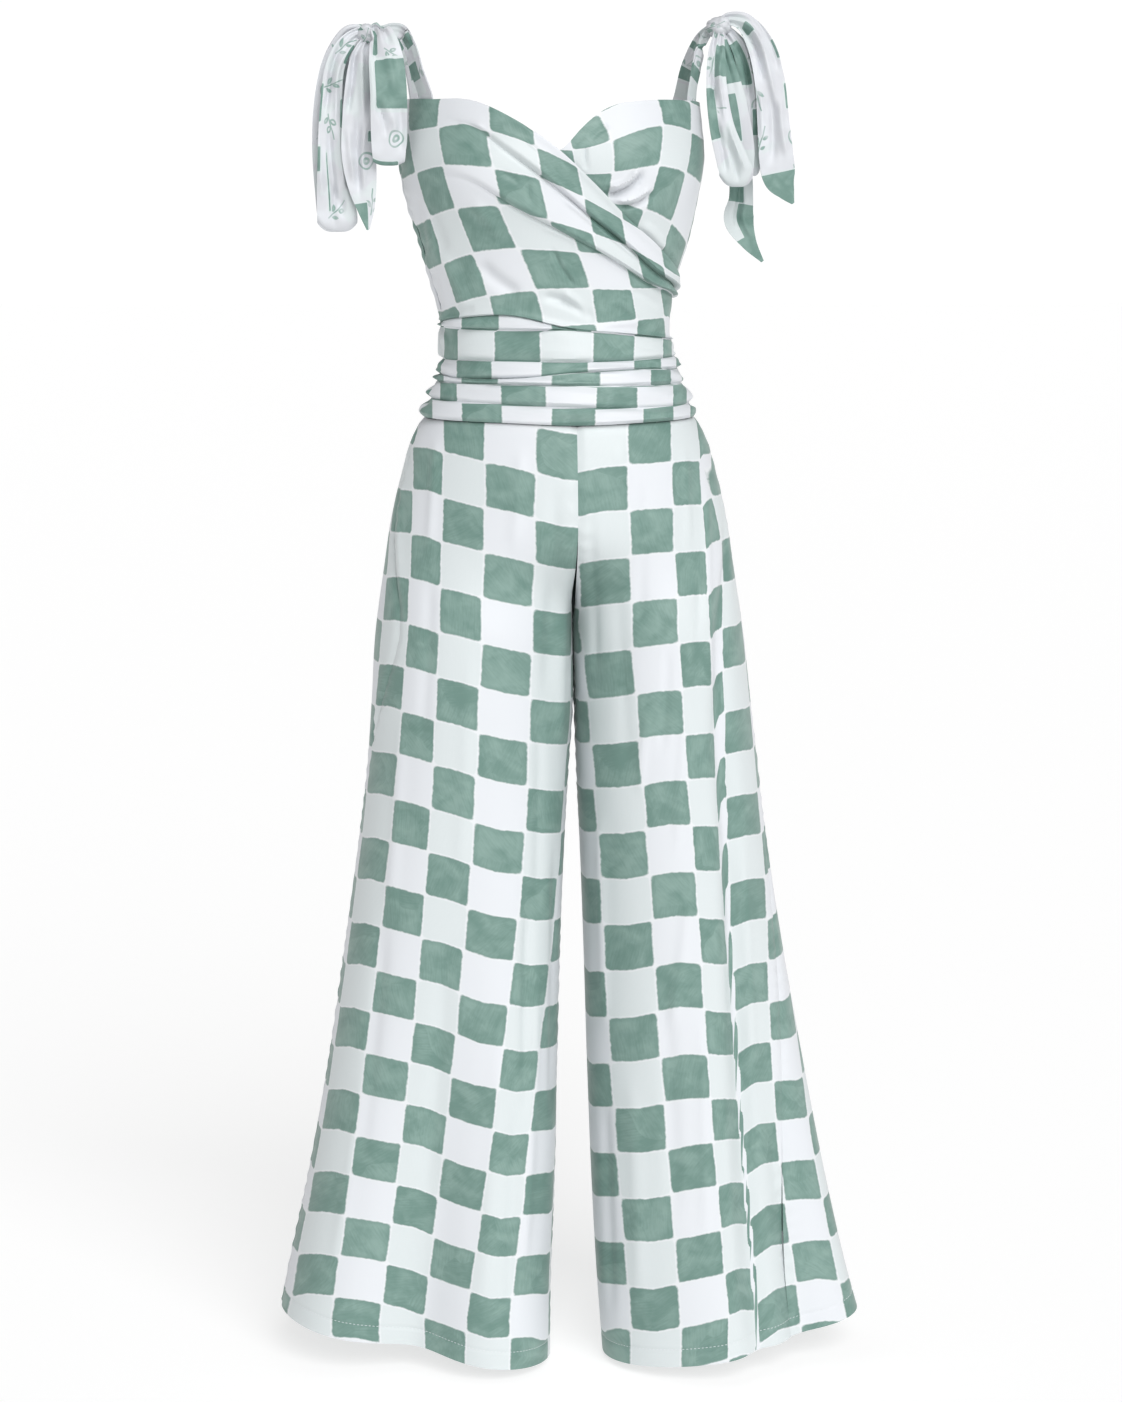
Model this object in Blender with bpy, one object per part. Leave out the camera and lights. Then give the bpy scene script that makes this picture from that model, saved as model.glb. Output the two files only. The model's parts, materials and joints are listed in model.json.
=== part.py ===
"""A wide-legged jumpsuit, filled out as when worn: wrap bodice, ruched midriff, flared trousers and bows.

Metres, +Z up, +X to the wearer's left, front towards -Y. The origin lies between the shoulders, where the
straps would rest.
"""

import math

import bpy
import numpy as np

# Driving sizes
WALL = 0.0014  # dress cloth
TIE_WALL = 0.0016  # a tie is cloth doubled
SEAM = 0.0003  # room between pieces at a seam
LAP = 0.0008  # room between a ply and the ply under it
CENTRE_LEAD = 0.009  # the centre front stands this far to +X of the side seams' middle
CUP_TURN, CUP_SPREAD = math.radians(36), math.radians(24)
CUP_HEIGHT, CUP_REACH, CUP_DEPTH = -0.145, 0.055, 0.016
SPLIT_TOP, CROTCH = -0.490, -0.633
HEM_HEIGHT, HEM_TILT = -1.4215, 0.0215  # the outer side of each hem is the higher one
LAST_HEM = -1.445
PLEAT_LIFT, MIDRIFF_LIFT = 0.0040, 0.0042
UNDER_REACH = 0.045  # the under ply goes this far below the wrap's edge,
UNDER_CLEAR = 0.006  # and stops at least this far above the wrap's foot
CREASE_COLUMN = 0.73  # the share of the left front's columns that lie before its sharp crease

GREEN, PALE, WHITE = (0.22, 0.39, 0.33), (0.75, 0.84, 0.82), (0.87, 0.87, 0.90)


def table(names, rows):
    """Rows of numbers as named columns."""
    return dict(zip(names.split(), np.array(rows, float).T))


TORSO = table("height half_width front back sway", [
    (-0.050, 0.1540, 0.094, 0.090, -0.019),
    (-0.090, 0.1590, 0.103, 0.095, -0.019),
    (-0.130, 0.1625, 0.108, 0.098, -0.020),
    (-0.170, 0.1560, 0.104, 0.097, -0.020),
    (-0.215, 0.1445, 0.097, 0.093, -0.018),
    (-0.255, 0.1325, 0.091, 0.088, -0.019),
    (-0.290, 0.1235, 0.088, 0.084, -0.018),
    (-0.320, 0.1215, 0.088, 0.084, -0.016),
    (-0.345, 0.1240, 0.091, 0.088, -0.013),
    (-0.375, 0.1345, 0.097, 0.097, -0.013),
    (-0.400, 0.1460, 0.103, 0.107, -0.013),
    (-0.425, 0.1585, 0.109, 0.115, -0.013),
    (-0.460, 0.1690, 0.115, 0.121, -0.013),
    (-0.510, 0.1810, 0.119, 0.125, -0.013),
    (-0.560, 0.1890, 0.120, 0.125, -0.013),
    (-0.640, 0.2010, 0.120, 0.122, -0.012),
    (-0.720, 0.2080, 0.118, 0.120, -0.010),
])

# Each leg's rounds: inner and outer reach from the middle, how far it has swung, and where the side seam is
LEG = {
    -1: table("height inner outer centre front back skew twist seam", [
        (-0.400, 0.0000, 0.1590, 0.002, 0.116, 0.122, 0.000, 0, 0.500),
        (-0.470, 0.0000, 0.1850, 0.002, 0.117, 0.123, 0.000, 0, 0.470),
        (-0.560, 0.0000, 0.2020, 0.002, 0.118, 0.124, 0.000, 0, 0.412),
        (-0.633, -0.0010, 0.2125, 0.002, 0.115, 0.122, 0.000, 0, 0.400),
        (-0.710, -0.0018, 0.2175, 0.002, 0.113, 0.120, 0.000, 0, 0.445),
        (-0.780, 0.0032, 0.2228, 0.002, 0.112, 0.120, 0.003, 0, 0.490),
        (-0.860, 0.0080, 0.2325, 0.002, 0.112, 0.121, 0.007, 0, 0.500),
        (-0.980, 0.0130, 0.2492, 0.003, 0.113, 0.123, 0.013, 0, 0.500),
        (-1.120, 0.0165, 0.2700, 0.004, 0.115, 0.126, 0.019, 0, 0.500),
        (-1.260, 0.0210, 0.2958, 0.005, 0.118, 0.130, 0.025, 0, 0.500),
        (-1.350, 0.0248, 0.3155, 0.005, 0.120, 0.133, 0.028, 0, 0.500),
        (LAST_HEM, 0.0260, 0.3350, 0.005, 0.120, 0.135, 0.030, 0, 0.500),
    ]),
    1: table("height inner outer centre front back skew twist seam", [
        (-0.400, 0.0000, 0.1330, 0.002, 0.116, 0.122, 0, 0, 0.500),
        (-0.470, 0.0000, 0.1590, 0.002, 0.117, 0.123, 0, 0, 0.500),
        (-0.560, 0.0005, 0.1760, 0.002, 0.118, 0.124, 0, 0, 0.500),
        (-0.633, 0.0010, 0.1880, 0.002, 0.115, 0.122, 0, 0, 0.500),
        (-0.710, 0.0036, 0.1970, 0.001, 0.113, 0.120, 0, 0, 0.500),
        (-0.780, 0.0058, 0.2055, -0.001, 0.111, 0.120, 0, -6, 0.500),
        (-0.860, 0.0095, 0.2155, -0.004, 0.109, 0.120, 0, -13, 0.500),
        (-0.980, 0.0136, 0.2342, -0.009, 0.106, 0.121, 0, -23, 0.500),
        (-1.120, 0.0172, 0.2597, -0.017, 0.103, 0.124, 0, -35, 0.500),
        (-1.260, 0.0220, 0.2877, -0.025, 0.101, 0.127, 0, -47, 0.500),
        (-1.350, 0.0265, 0.3085, -0.030, 0.100, 0.129, 0, -55, 0.500),
        (LAST_HEM, 0.0330, 0.3350, -0.035, 0.100, 0.130, 0, -62, 0.500),
    ]),
}

# Hollows down each leg, where lift is below 0: turn goes round the leg from its inside by the front
LEG_FOLDS = {
    -1: [
        table("height turn width lift", [
            (-0.70, 97, 30, 0.000), (-0.95, 97, 30, -0.012), (-1.20, 96, 29, -0.034),
            (LAST_HEM, 95, 27, -0.056)]),
        table("height turn width lift", [
            (-0.60, 235, 20, 0.000), (-1.00, 235, 20, -0.014), (LAST_HEM, 232, 18, -0.034)]),
        table("height turn width lift", [
            (-0.55, 300, 18, 0.000), (-0.90, 300, 18, -0.012), (LAST_HEM, 298, 17, -0.030)]),
    ],
    1: [
        table("height turn width lift", [
            (-0.78, 128, 26, 0.000), (-1.00, 128, 26, -0.010), (-1.25, 128, 26, -0.028),
            (LAST_HEM, 127, 25, -0.042)]),
        table("height turn width lift", [
            (-0.48, 150, 8, 0.000), (-0.60, 131, 8, -0.006), (-0.72, 122, 8, -0.009),
            (-0.86, 121, 8, -0.011),
            (-1.10, 111, 8, -0.013), (LAST_HEM, 97, 8, -0.015)]),
        table("height turn width lift", [
            (-0.60, 222, 19, 0.000), (-1.00, 222, 19, -0.012), (LAST_HEM, 220, 18, -0.032)]),
        table("height turn width lift", [
            (-0.55, 280, 18, 0.000), (-0.90, 280, 18, -0.012), (LAST_HEM, 276, 17, -0.030)]),
    ],
}

# Heights of the wrap's edge and its two long pleats, by turn in degrees from the centre front
WRAP = table("turn pleat_two pleat_one edge", [
    (-90, -0.150, -0.090, -0.067),
    (-60, -0.149, -0.092, -0.069),
    (-35, -0.153, -0.099, -0.074),
    (-20, -0.181, -0.127, -0.093),
    (-5, -0.203, -0.160, -0.121),
    (8, -0.220, -0.190, -0.154),
    (22, -0.237, -0.215, -0.190),
    (40, -0.256, -0.241, -0.219),
    (65, -0.267, -0.258, -0.245),
    (90, -0.276, -0.269, -0.262),
])
WRAP_LEVELS = (0, 0.5, 0.75, 1)
UNDER_EDGE = table("turn edge", [
    (-12, -0.130), (-2, -0.118), (3, -0.102), (10, -0.085), (19, -0.074), (28, -0.071), (60, -0.069),
    (90, -0.070)])
BACK_EDGE = table("turn edge", [
    (90, -0.070), (105, -0.080), (120, -0.100), (140, -0.116), (180, -0.120)])

# Heights of the midriff's fold lines all round, by turn from the centre front
MIDRIFF = table("turn top fold_one fold_two fold_three fold_four foot", [
    (-180, -0.3080, -0.338, -0.352, -0.364, -0.384, -0.3990),
    (-90, -0.2990, -0.338, -0.355, -0.362, -0.380, -0.4000),
    (-60, -0.2940, -0.338, -0.357, -0.362, -0.381, -0.4010),
    (-30, -0.2915, -0.338, -0.356, -0.362, -0.383, -0.4020),
    (0, -0.3048, -0.339, -0.350, -0.363, -0.386, -0.4045),
    (30, -0.3105, -0.338, -0.347, -0.364, -0.387, -0.4025),
    (60, -0.3155, -0.336, -0.348, -0.364, -0.386, -0.4005),
    (90, -0.3190, -0.336, -0.348, -0.364, -0.384, -0.3980),
    (180, -0.3080, -0.338, -0.352, -0.364, -0.384, -0.3990),
])
MIDRIFF_LINES = ("foot", "fold_four", "fold_three", "fold_two", "fold_one", "top")
FOLD_LIP = 0.14  # a fold swells out over this share of its height, and sinks back over the rest


def read(rows, name, at, along="height"):
    """A column's value on a smooth curve through its rows."""
    knots, values = rows[along], rows[name]
    if knots[0] > knots[-1]:
        knots, values = knots[::-1], values[::-1]
    slopes = np.gradient(values, knots)
    at = np.clip(at, knots[0], knots[-1])
    k = np.clip(np.searchsorted(knots, at) - 1, 0, len(knots) - 2)
    step = knots[k + 1] - knots[k]
    f = (at - knots[k]) / step
    start = (1 + 2 * f) * (1 - f) ** 2 * values[k] + f * (1 - f) ** 2 * step * slopes[k]
    return start + f**2 * (3 - 2 * f) * values[k + 1] - f**2 * (1 - f) * step * slopes[k + 1]


def torso(turn, height):
    """Points on the oval round the body, with its cups: turn 0 is the centre front, 90 degrees the left."""
    half = read(TORSO, "half_width", height)
    depth = np.where(np.cos(turn) > 0, read(TORSO, "front", height), read(TORSO, "back", height))
    for side in (-1, 1):
        off_turn = (turn - side * CUP_TURN) / CUP_SPREAD
        off_height = (height - CUP_HEIGHT) / CUP_REACH
        cup = CUP_DEPTH * np.exp(-(off_turn**2) - off_height**2)
        half, depth = half + cup, depth + cup
    x = read(TORSO, "sway", height) + CENTRE_LEAD * np.cos(turn) + half * np.sin(turn)
    return np.stack([x, -depth * np.cos(turn), height + 0 * turn], -1)


def leg_turn(side, around, height):
    """How far round the leg a point lies, in radians from the inside of the leg by the front."""
    return 2 * math.pi * around + np.radians(read(LEG[side], "twist", height))


def leg(side, around, height):
    rows = LEG[side]
    turn = leg_turn(side, around, height)
    inner, outer = read(rows, "inner", height), read(rows, "outer", height)
    outward = -np.cos(turn)
    depth = np.where(np.sin(turn) > 0, read(rows, "front", height), read(rows, "back", height))
    x = side * ((inner + outer) / 2 + outward * (outer - inner) / 2)
    y = read(rows, "centre", height) + read(rows, "skew", height) * outward - depth * np.sin(turn)
    return np.stack([x, y, height + 0 * around], -1)


def trouser_base(side):
    """One side of the trousers: half the oval of the hips above, parting into a leg's whole round below."""
    def surface(around, height):
        down = np.clip((SPLIT_TOP - height) / (SPLIT_TOP - CROTCH), 0, 1)[..., None]
        split = down**3 * (4 - 3 * down)
        hips = torso(side * math.pi * around, height)
        return (1 - split) * hips + split * leg(side, around, height)
    return surface


def leg_lift(side, around, height):
    """How far the folds of a leg stand off its plain round."""
    turn = np.degrees(leg_turn(side, around, height))
    lift = 0 * turn
    for fold in LEG_FOLDS[side]:
        away = (turn - read(fold, "turn", height) + 180) % 360 - 180
        lift = lift + read(fold, "lift", height) * np.exp(-((away / read(fold, "width", height)) ** 2))
    return lift


def outward_normal(surface, u, v, step=1e-4):
    across = surface(u + step, v) - surface(u - step, v)
    up = surface(u, v + step) - surface(u, v - step)
    normal = np.cross(across, up)
    return normal / np.linalg.norm(normal, axis=-1, keepdims=True)


def off(surface, u, v, lift, flip=1):
    """Points of a surface moved out along its own normal."""
    return surface(u, v) + flip * outward_normal(surface, u, v) * np.asarray(lift)[..., None]


def inset(surface, u, v, side):
    """The u that lies half a seam's room inside an edge at u."""
    step = 1e-4
    speed = np.linalg.norm(surface(u + step, v) - surface(u - step, v), axis=-1) / (2 * step)
    return u + side * SEAM / 2 / speed


def material(name, colour):
    made = bpy.data.materials.new(name)
    made.use_nodes = True
    made.diffuse_color = (*colour, 1)
    shader = made.node_tree.nodes["Principled BSDF"]
    shader.inputs["Base Color"].default_value = (*colour, 1)
    shader.inputs["Roughness"].default_value = 0.5
    shader.inputs["Metallic"].default_value = 0.0
    return made


def wall(name, outer, inner, colour):
    """A closed cloth wall between two grids of points, one object with its own material."""
    rows, columns = outer.shape[:2]
    points = np.concatenate([outer.reshape(-1, 3), inner.reshape(-1, 3)])
    under = rows * columns
    quads = []
    for i in range(rows - 1):
        for j in range(columns - 1):
            a, b = i * columns + j, (i + 1) * columns + j
            quads.append((a, a + 1, b + 1, b))
            quads.append((a + under, b + under, b + 1 + under, a + 1 + under))
    rim = list(range(columns))
    rim += [i * columns + columns - 1 for i in range(1, rows)]
    rim += [(rows - 1) * columns + j for j in range(columns - 2, -1, -1)]
    rim += [i * columns for i in range(rows - 2, 0, -1)]
    for a, b in zip(rim, rim[1:] + rim[:1]):
        quads.append((b, a, a + under, b + under))
    mesh = bpy.data.meshes.new(name)
    mesh.from_pydata(points.tolist(), [], quads)
    mesh.shade_smooth()
    made = bpy.data.objects.new(name, mesh)
    mesh.materials.append(material(name, colour))
    bpy.context.scene.collection.objects.link(made)
    if signed_volume(points, quads) < 0:
        mesh.flip_normals()
    return made


def signed_volume(points, quads):
    a, b, c, d = (points[[quad[k] for quad in quads]] for k in range(4))
    return float((np.cross(a, b) * c).sum() + (np.cross(a, c) * d).sum())


def seam_height(around, side):
    """Where the trousers meet the midriff."""
    return read(MIDRIFF, "foot", side * 180 * around, "turn")


def trouser_panel(name, side, front, colour):
    """A front goes from the centre and inside leg to the side seam, a back from there to the centre again."""
    surface = trouser_base(side)
    drops = [0.000, 0.030, 0.062, 0.090, 0.112, 0.134, 0.156, 0.178, 0.200, 0.216, 0.2290]
    drops += [0.2295 + 0.8105 * k / 13 for k in range(1, 14)]
    share_down = np.array(drops) / drops[-1]
    share_across = np.array([0, 0.09, 0.18, 0.27, 0.36, 0.45, 0.54, 0.62, 0.68, 0.73, 0.78, 0.85, 0.92, 1])
    if not front:
        share_across = np.linspace(0, 1, 14)
    down, across = np.meshgrid(share_down, share_across, indexing="ij")

    def height_of(around):
        top = seam_height(around, side) - SEAM / 2
        turn = leg_turn(side, around, HEM_HEIGHT)
        return top + down * (HEM_HEIGHT - HEM_TILT * np.cos(turn) - top)

    seam = read(LEG[side], "seam", height_of(0.5 + 0 * across))
    seam = read(LEG[side], "seam", height_of(seam))
    height = height_of(seam)
    first, last = (0 * seam, seam) if front else (seam, 0 * seam + 1)
    first, last = inset(surface, first, height, 1), inset(surface, last, height, -1)
    bent = across
    if front and side > 0:
        crease = (read(LEG_FOLDS[1][1], "turn", height) - read(LEG[1], "twist", height)) / 360
        crease_share = (crease - first) / (last - first)
        before, after = across / CREASE_COLUMN, (across - CREASE_COLUMN) / (1 - CREASE_COLUMN)
        bent = np.where(after < 0, before * crease_share, crease_share + after * (1 - crease_share))
    around = first + bent * (last - first)
    height = height_of(around)
    lift = leg_lift(side, around, height)
    outer = off(surface, around, height, lift, side)
    return wall(name, outer, off(surface, around, height, lift - WALL, side), colour)


def wrap_height(turn, level):
    """Height of a level of the wrap, from 0 at its foot by the long pleats to 1 at its edge."""
    lines = [read(MIDRIFF, "top", turn, "turn")]
    lines += [read(WRAP, name, turn, "turn") for name in ("pleat_two", "pleat_one", "edge")]
    height = lines[0]
    for k in range(3):
        share = np.clip((level - WRAP_LEVELS[k]) / (WRAP_LEVELS[k + 1] - WRAP_LEVELS[k]), 0, 1)
        height = height + share * (lines[k + 1] - lines[k])
    return height


def bodice_wrap(name, colour):
    """The over ply, from the wearer's right side across to the left, with two long pleats under its edge."""
    levels = np.array([0, 0.03, 0.12, 0.24, 0.36, 0.46, 0.495, 0.51, 0.58, 0.66, 0.745, 0.76, 0.83, 0.92, 1])
    level, turn = np.meshgrid(levels, np.radians(FRONT_TURNS), indexing="ij")
    height = wrap_height(np.degrees(turn), level)
    height[0] += SEAM / 2
    turn[:, 0] = inset(torso, turn[:, 0], height[:, 0], 1)
    turn[:, -1] = inset(torso, turn[:, -1], height[:, -1], -1)
    share_along = np.interp(level, WRAP_LEVELS, range(len(WRAP_LEVELS))) % 1
    drape = np.interp(np.degrees(turn), (-50, -15, 70, 90), (0, 1, 1, 0))
    lift = PLEAT_LIFT * drape * np.where(level == 1, 0, 1 - share_along) * (level > 0)
    outer = off(torso, turn, height, lift)
    return wall(name, outer, off(torso, turn, height, lift - WALL), colour)


def bodice_under(name, colour):
    """The under ply: the right cup, seen above the wrap's edge and reaching a little below it."""
    share, turn = np.meshgrid(np.linspace(0, 1, 10), np.radians(FRONT_TURNS[10:]), indexing="ij")
    degrees = np.degrees(turn)
    edge = read(UNDER_EDGE, "edge", degrees, "turn")
    wrap_foot = read(MIDRIFF, "top", degrees, "turn")
    foot = np.maximum(read(WRAP, "edge", degrees, "turn") - UNDER_REACH, wrap_foot + UNDER_CLEAR)
    height = edge + share * (foot - edge)
    turn[:, -1] = inset(torso, turn[:, -1], height[:, -1], -1)
    sunk = 0 * turn - WALL - LAP
    return wall(name, off(torso, turn, height, sunk), off(torso, turn, height, sunk - WALL), colour)


def bodice_back(name, side, colour):
    share, degrees = np.meshgrid(np.linspace(0, 1, 9), BACK_TURNS, indexing="ij")
    edge = read(BACK_EDGE, "edge", degrees, "turn")
    foot = read(MIDRIFF, "top", side * degrees, "turn") + SEAM / 2
    height = edge + share * (foot - edge)
    turn = np.radians(side * degrees)
    turn[:, 0] = inset(torso, turn[:, 0], height[:, 0], side)
    turn[:, -1] = inset(torso, turn[:, -1], height[:, -1], -side)
    return wall(name, off(torso, turn, height, 0 * turn), off(torso, turn, height, 0 * turn - WALL), colour)


def midriff_height(degrees, level):
    """Height of a level of the midriff, a whole number at each fold line, counted up from its foot."""
    lines = [read(MIDRIFF, name, degrees, "turn") for name in MIDRIFF_LINES]
    height = lines[0]
    for k in range(len(lines) - 1):
        height = height + np.clip(level - k, 0, 1) * (lines[k + 1] - lines[k])
    return height


def midriff(name, turns, colour):
    """A band gathered up into five soft folds, each hanging a little over the one below."""
    folds = len(MIDRIFF_LINES) - 1
    levels = [k + part for k in range(folds) for part in (0, FOLD_LIP, 0.55)] + [folds]
    level, degrees = np.meshgrid(levels, np.array(turns, float), indexing="ij")
    height = midriff_height(degrees, level)
    height[0] += SEAM / 2
    height[-1] -= SEAM / 2
    turn = np.radians(degrees)
    turn[:, 0] = inset(torso, turn[:, 0], height[:, 0], 1)
    turn[:, -1] = inset(torso, turn[:, -1], height[:, -1], -1)
    part = level % 1
    sinking = np.cos((part - FOLD_LIP) / (1 - FOLD_LIP) * math.pi / 2)
    swell = np.where(part < FOLD_LIP, part / FOLD_LIP, sinking)
    lift = MIDRIFF_LIFT * swell
    return wall(name, off(torso, turn, height, lift), off(torso, turn, height, lift - WALL), colour)


# Turns, in degrees, at which the pieces of the body have their upright lines
FRONT_TURNS = [-90, -80, -72, -66, -60, -50, -41, -33, -25, -17, -9]
FRONT_TURNS += [-1, 7, 15, 24, 34, 44, 53, 60, 66, 72, 81, 90]
BACK_TURNS = [90, 101, 110, 115, 121, 127, 139, 153, 167, 180]

# Bows: each ribbon's middle line from its knot, in metres across, forward and up, with its width there
KNOTS = {"right": (-0.213, -0.014, 0.004), "left": (0.158, -0.012, 0.007)}
KNOT_SIZE = (0.0115, 0.0130, 0.0105)
KNOT_ROOM = 0.0005  # leaves about a seam's room between the flat facets
RIBBONS = {
    "right": {
        "loop_front": table("across forward up width", [
            (0.000, 0.0100, 0.000, 0.009), (0.008, 0.0130, 0.008, 0.012), (0.015, 0.0260, -0.006, 0.026),
            (0.021, 0.0350, -0.032, 0.036), (0.023, 0.0380, -0.070, 0.038), (0.022, 0.0360, -0.115, 0.037),
            (0.021, 0.0330, -0.142, 0.034), (0.021, 0.0290, -0.147, 0.033), (0.021, 0.0260, -0.141, 0.033),
            (0.022, 0.0265, -0.110, 0.034), (0.022, 0.0270, -0.070, 0.034), (0.020, 0.0240, -0.036, 0.030),
            (0.014, 0.0160, -0.014, 0.018), (0.006, 0.0080, -0.005, 0.010), (0.000, 0.0070, -0.003, 0.009)]),
        "tail_front": table("across forward up width", [
            (0.000, 0.0042, -0.001, 0.009), (-0.006, 0.0065, -0.010, 0.010), (-0.011, 0.0130, -0.026, 0.017),
            (-0.014, 0.0180, -0.050, 0.026), (-0.017, 0.0200, -0.090, 0.028),
            (-0.016, 0.0200, -0.135, 0.028),
            (-0.013, 0.0190, -0.170, 0.024), (-0.009, 0.0180, -0.200, 0.011),
            (-0.007, 0.0175, -0.212, 0.003)]),
        "loop_outer": table("across forward up width", [
            (0.000, 0.0014, 0.001, 0.009), (-0.009, 0.0030, -0.006, 0.010), (-0.022, 0.0080, -0.022, 0.018),
            (-0.031, 0.0115, -0.050, 0.022), (-0.034, 0.0120, -0.090, 0.023),
            (-0.033, 0.0120, -0.140, 0.027),
            (-0.033, 0.0110, -0.185, 0.034), (-0.035, 0.0090, -0.211, 0.040),
            (-0.037, 0.0050, -0.218, 0.040),
            (-0.040, 0.0010, -0.210, 0.040), (-0.045, -0.0030, -0.180, 0.034),
            (-0.049, -0.0040, -0.130, 0.030),
            (-0.050, -0.0040, -0.080, 0.028), (-0.042, -0.0040, -0.038, 0.024),
            (-0.026, -0.0030, -0.006, 0.018),
            (-0.012, -0.0018, 0.006, 0.012), (0.000, -0.0014, 0.003, 0.009)]),
        "tail_back": table("across forward up width", [
            (0.000, -0.0042, -0.001, 0.009), (-0.009, -0.0060, -0.012, 0.010),
            (-0.020, -0.0110, -0.034, 0.020),
            (-0.027, -0.0140, -0.070, 0.027), (-0.029, -0.0150, -0.120, 0.028),
            (-0.028, -0.0150, -0.165, 0.024),
            (-0.026, -0.0150, -0.190, 0.008)]),
    },
    "left": {
        "loop_front": table("across forward up width", [
            (0.000, 0.0100, -0.001, 0.009), (0.000, 0.0130, -0.012, 0.011), (-0.001, 0.0210, -0.032, 0.020),
            (0.003, 0.0300, -0.065, 0.028), (0.009, 0.0350, -0.105, 0.034), (0.014, 0.0340, -0.145, 0.034),
            (0.014, 0.0310, -0.170, 0.034), (0.012, 0.0270, -0.174, 0.034), (0.009, 0.0235, -0.168, 0.034),
            (0.001, 0.0220, -0.135, 0.032), (-0.006, 0.0220, -0.095, 0.026), (-0.009, 0.0170, -0.055, 0.020),
            (-0.006, 0.0100, -0.025, 0.012), (-0.002, 0.0074, -0.009, 0.010),
            (0.000, 0.0070, -0.002, 0.009)]),
        "tail_front": table("across forward up width", [
            (0.000, 0.0042, 0.003, 0.009), (0.012, 0.0060, 0.006, 0.012), (0.028, 0.0110, 0.002, 0.018),
            (0.044, 0.0160, -0.022, 0.024), (0.052, 0.0190, -0.058, 0.028), (0.056, 0.0200, -0.100, 0.031),
            (0.060, 0.0200, -0.140, 0.035), (0.065, 0.0190, -0.168, 0.030), (0.073, 0.0180, -0.190, 0.014),
            (0.079, 0.0175, -0.198, 0.003)]),
        "loop_outer": table("across forward up width", [
            (0.000, 0.0014, 0.000, 0.009), (0.009, 0.0020, -0.005, 0.010), (0.022, 0.0060, -0.022, 0.018),
            (0.031, 0.0090, -0.050, 0.022), (0.035, 0.0100, -0.090, 0.022), (0.036, 0.0095, -0.130, 0.020),
            (0.035, 0.0070, -0.152, 0.018), (0.034, 0.0030, -0.157, 0.018), (0.033, -0.0010, -0.151, 0.018),
            (0.031, -0.0030, -0.120, 0.022), (0.028, -0.0035, -0.080, 0.022),
            (0.020, -0.0030, -0.040, 0.018),
            (0.009, -0.0018, -0.012, 0.011), (0.000, -0.0014, -0.002, 0.009)]),
        "tail_back": table("across forward up width", [
            (0.000, -0.0042, -0.002, 0.009), (0.004, -0.0060, -0.016, 0.011),
            (0.010, -0.0110, -0.050, 0.020),
            (0.016, -0.0130, -0.100, 0.024), (0.020, -0.0130, -0.150, 0.025),
            (0.022, -0.0130, -0.190, 0.026),
            (0.026, -0.0130, -0.215, 0.022), (0.037, -0.0130, -0.240, 0.012),
            (0.047, -0.0130, -0.259, 0.003)]),
    },
}
# Straps: middle line from the knot towards the bodice, as for the ribbons. Each ends inside the bodice's top.
STRAP_TURNS = {"front": 66, "back": 118}
STRAP_WIDTH, STRAP_DROP = 0.021, 0.024
STRAP_LEAN = 7  # degrees of turn to each side that a strap's foot takes up
STRAP_ROOM = 0.0015  # from the bodice's inside to the middle of a strap sewn to it
STRAPS = {
    "right": {
        "front": table("across forward up width", [
            (0.000, -0.0072, 0.000, 0.008), (0.014, -0.0078, 0.003, 0.009), (0.029, -0.0060, -0.001, 0.013),
            (0.040, 0.0060, -0.024, 0.014), (0.046, 0.0190, -0.050, 0.018)]),
        "back": table("across forward up width", [
            (0.000, -0.0102, 0.001, 0.008), (0.014, -0.0150, 0.004, 0.009), (0.031, -0.0300, 0.000, 0.013),
            (0.044, -0.0500, -0.028, 0.016), (0.051, -0.0580, -0.066, 0.018)]),
    },
    "left": {
        "front": table("across forward up width", [
            (0.000, -0.0072, 0.000, 0.008), (-0.010, -0.0078, -0.006, 0.009),
            (-0.018, -0.0040, -0.020, 0.013),
            (-0.024, 0.0080, -0.038, 0.015), (-0.029, 0.0200, -0.055, 0.018)]),
        "back": table("across forward up width", [
            (0.000, -0.0102, 0.001, 0.008), (-0.009, -0.0170, -0.002, 0.009),
            (-0.018, -0.0320, -0.014, 0.013),
            (-0.027, -0.0480, -0.040, 0.016), (-0.033, -0.0560, -0.072, 0.018)]),
    },
}


def smooth_line(values, count):
    """Points along a smooth curve through the values, evenly shared out between them."""
    knots = np.arange(len(values), dtype=float)
    at = np.linspace(0, knots[-1], count)
    return read({"at": knots, "value": np.asarray(values, float)}, "value", at, "at")


def strip(name, middle, widths, thickness, colour, across=None, columns=4, bow=0.08):
    """A strip of cloth along a line of points, bowed across by a share of its width."""
    tangent = np.gradient(middle, axis=0)
    tangent /= np.linalg.norm(tangent, axis=1, keepdims=True)
    if across is None:
        across = np.cross(tangent, (0, 1, 0))
        across[:, 1] = 0
        flat = np.abs(tangent[:, 1]) > 0.8
        across[flat] = (1, 0, 0)
        for k in range(1, len(across)):
            if across[k] @ across[k - 1] < 0:
                across[k] = -across[k]
    across = across / np.linalg.norm(across, axis=1, keepdims=True)
    normal = np.cross(tangent, across)
    normal /= np.linalg.norm(normal, axis=1, keepdims=True)
    share = np.linspace(-0.5, 0.5, columns)
    spread = middle[:, None] + widths[:, None, None] * share[None, :, None] * across[:, None]
    camber = bow * widths[:, None, None] * (0.25 - share[None, :, None] ** 2)
    face = spread + normal[:, None] * camber
    half = thickness / 2
    return wall(name, face + normal[:, None] * half, face - normal[:, None] * half, colour)


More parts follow.
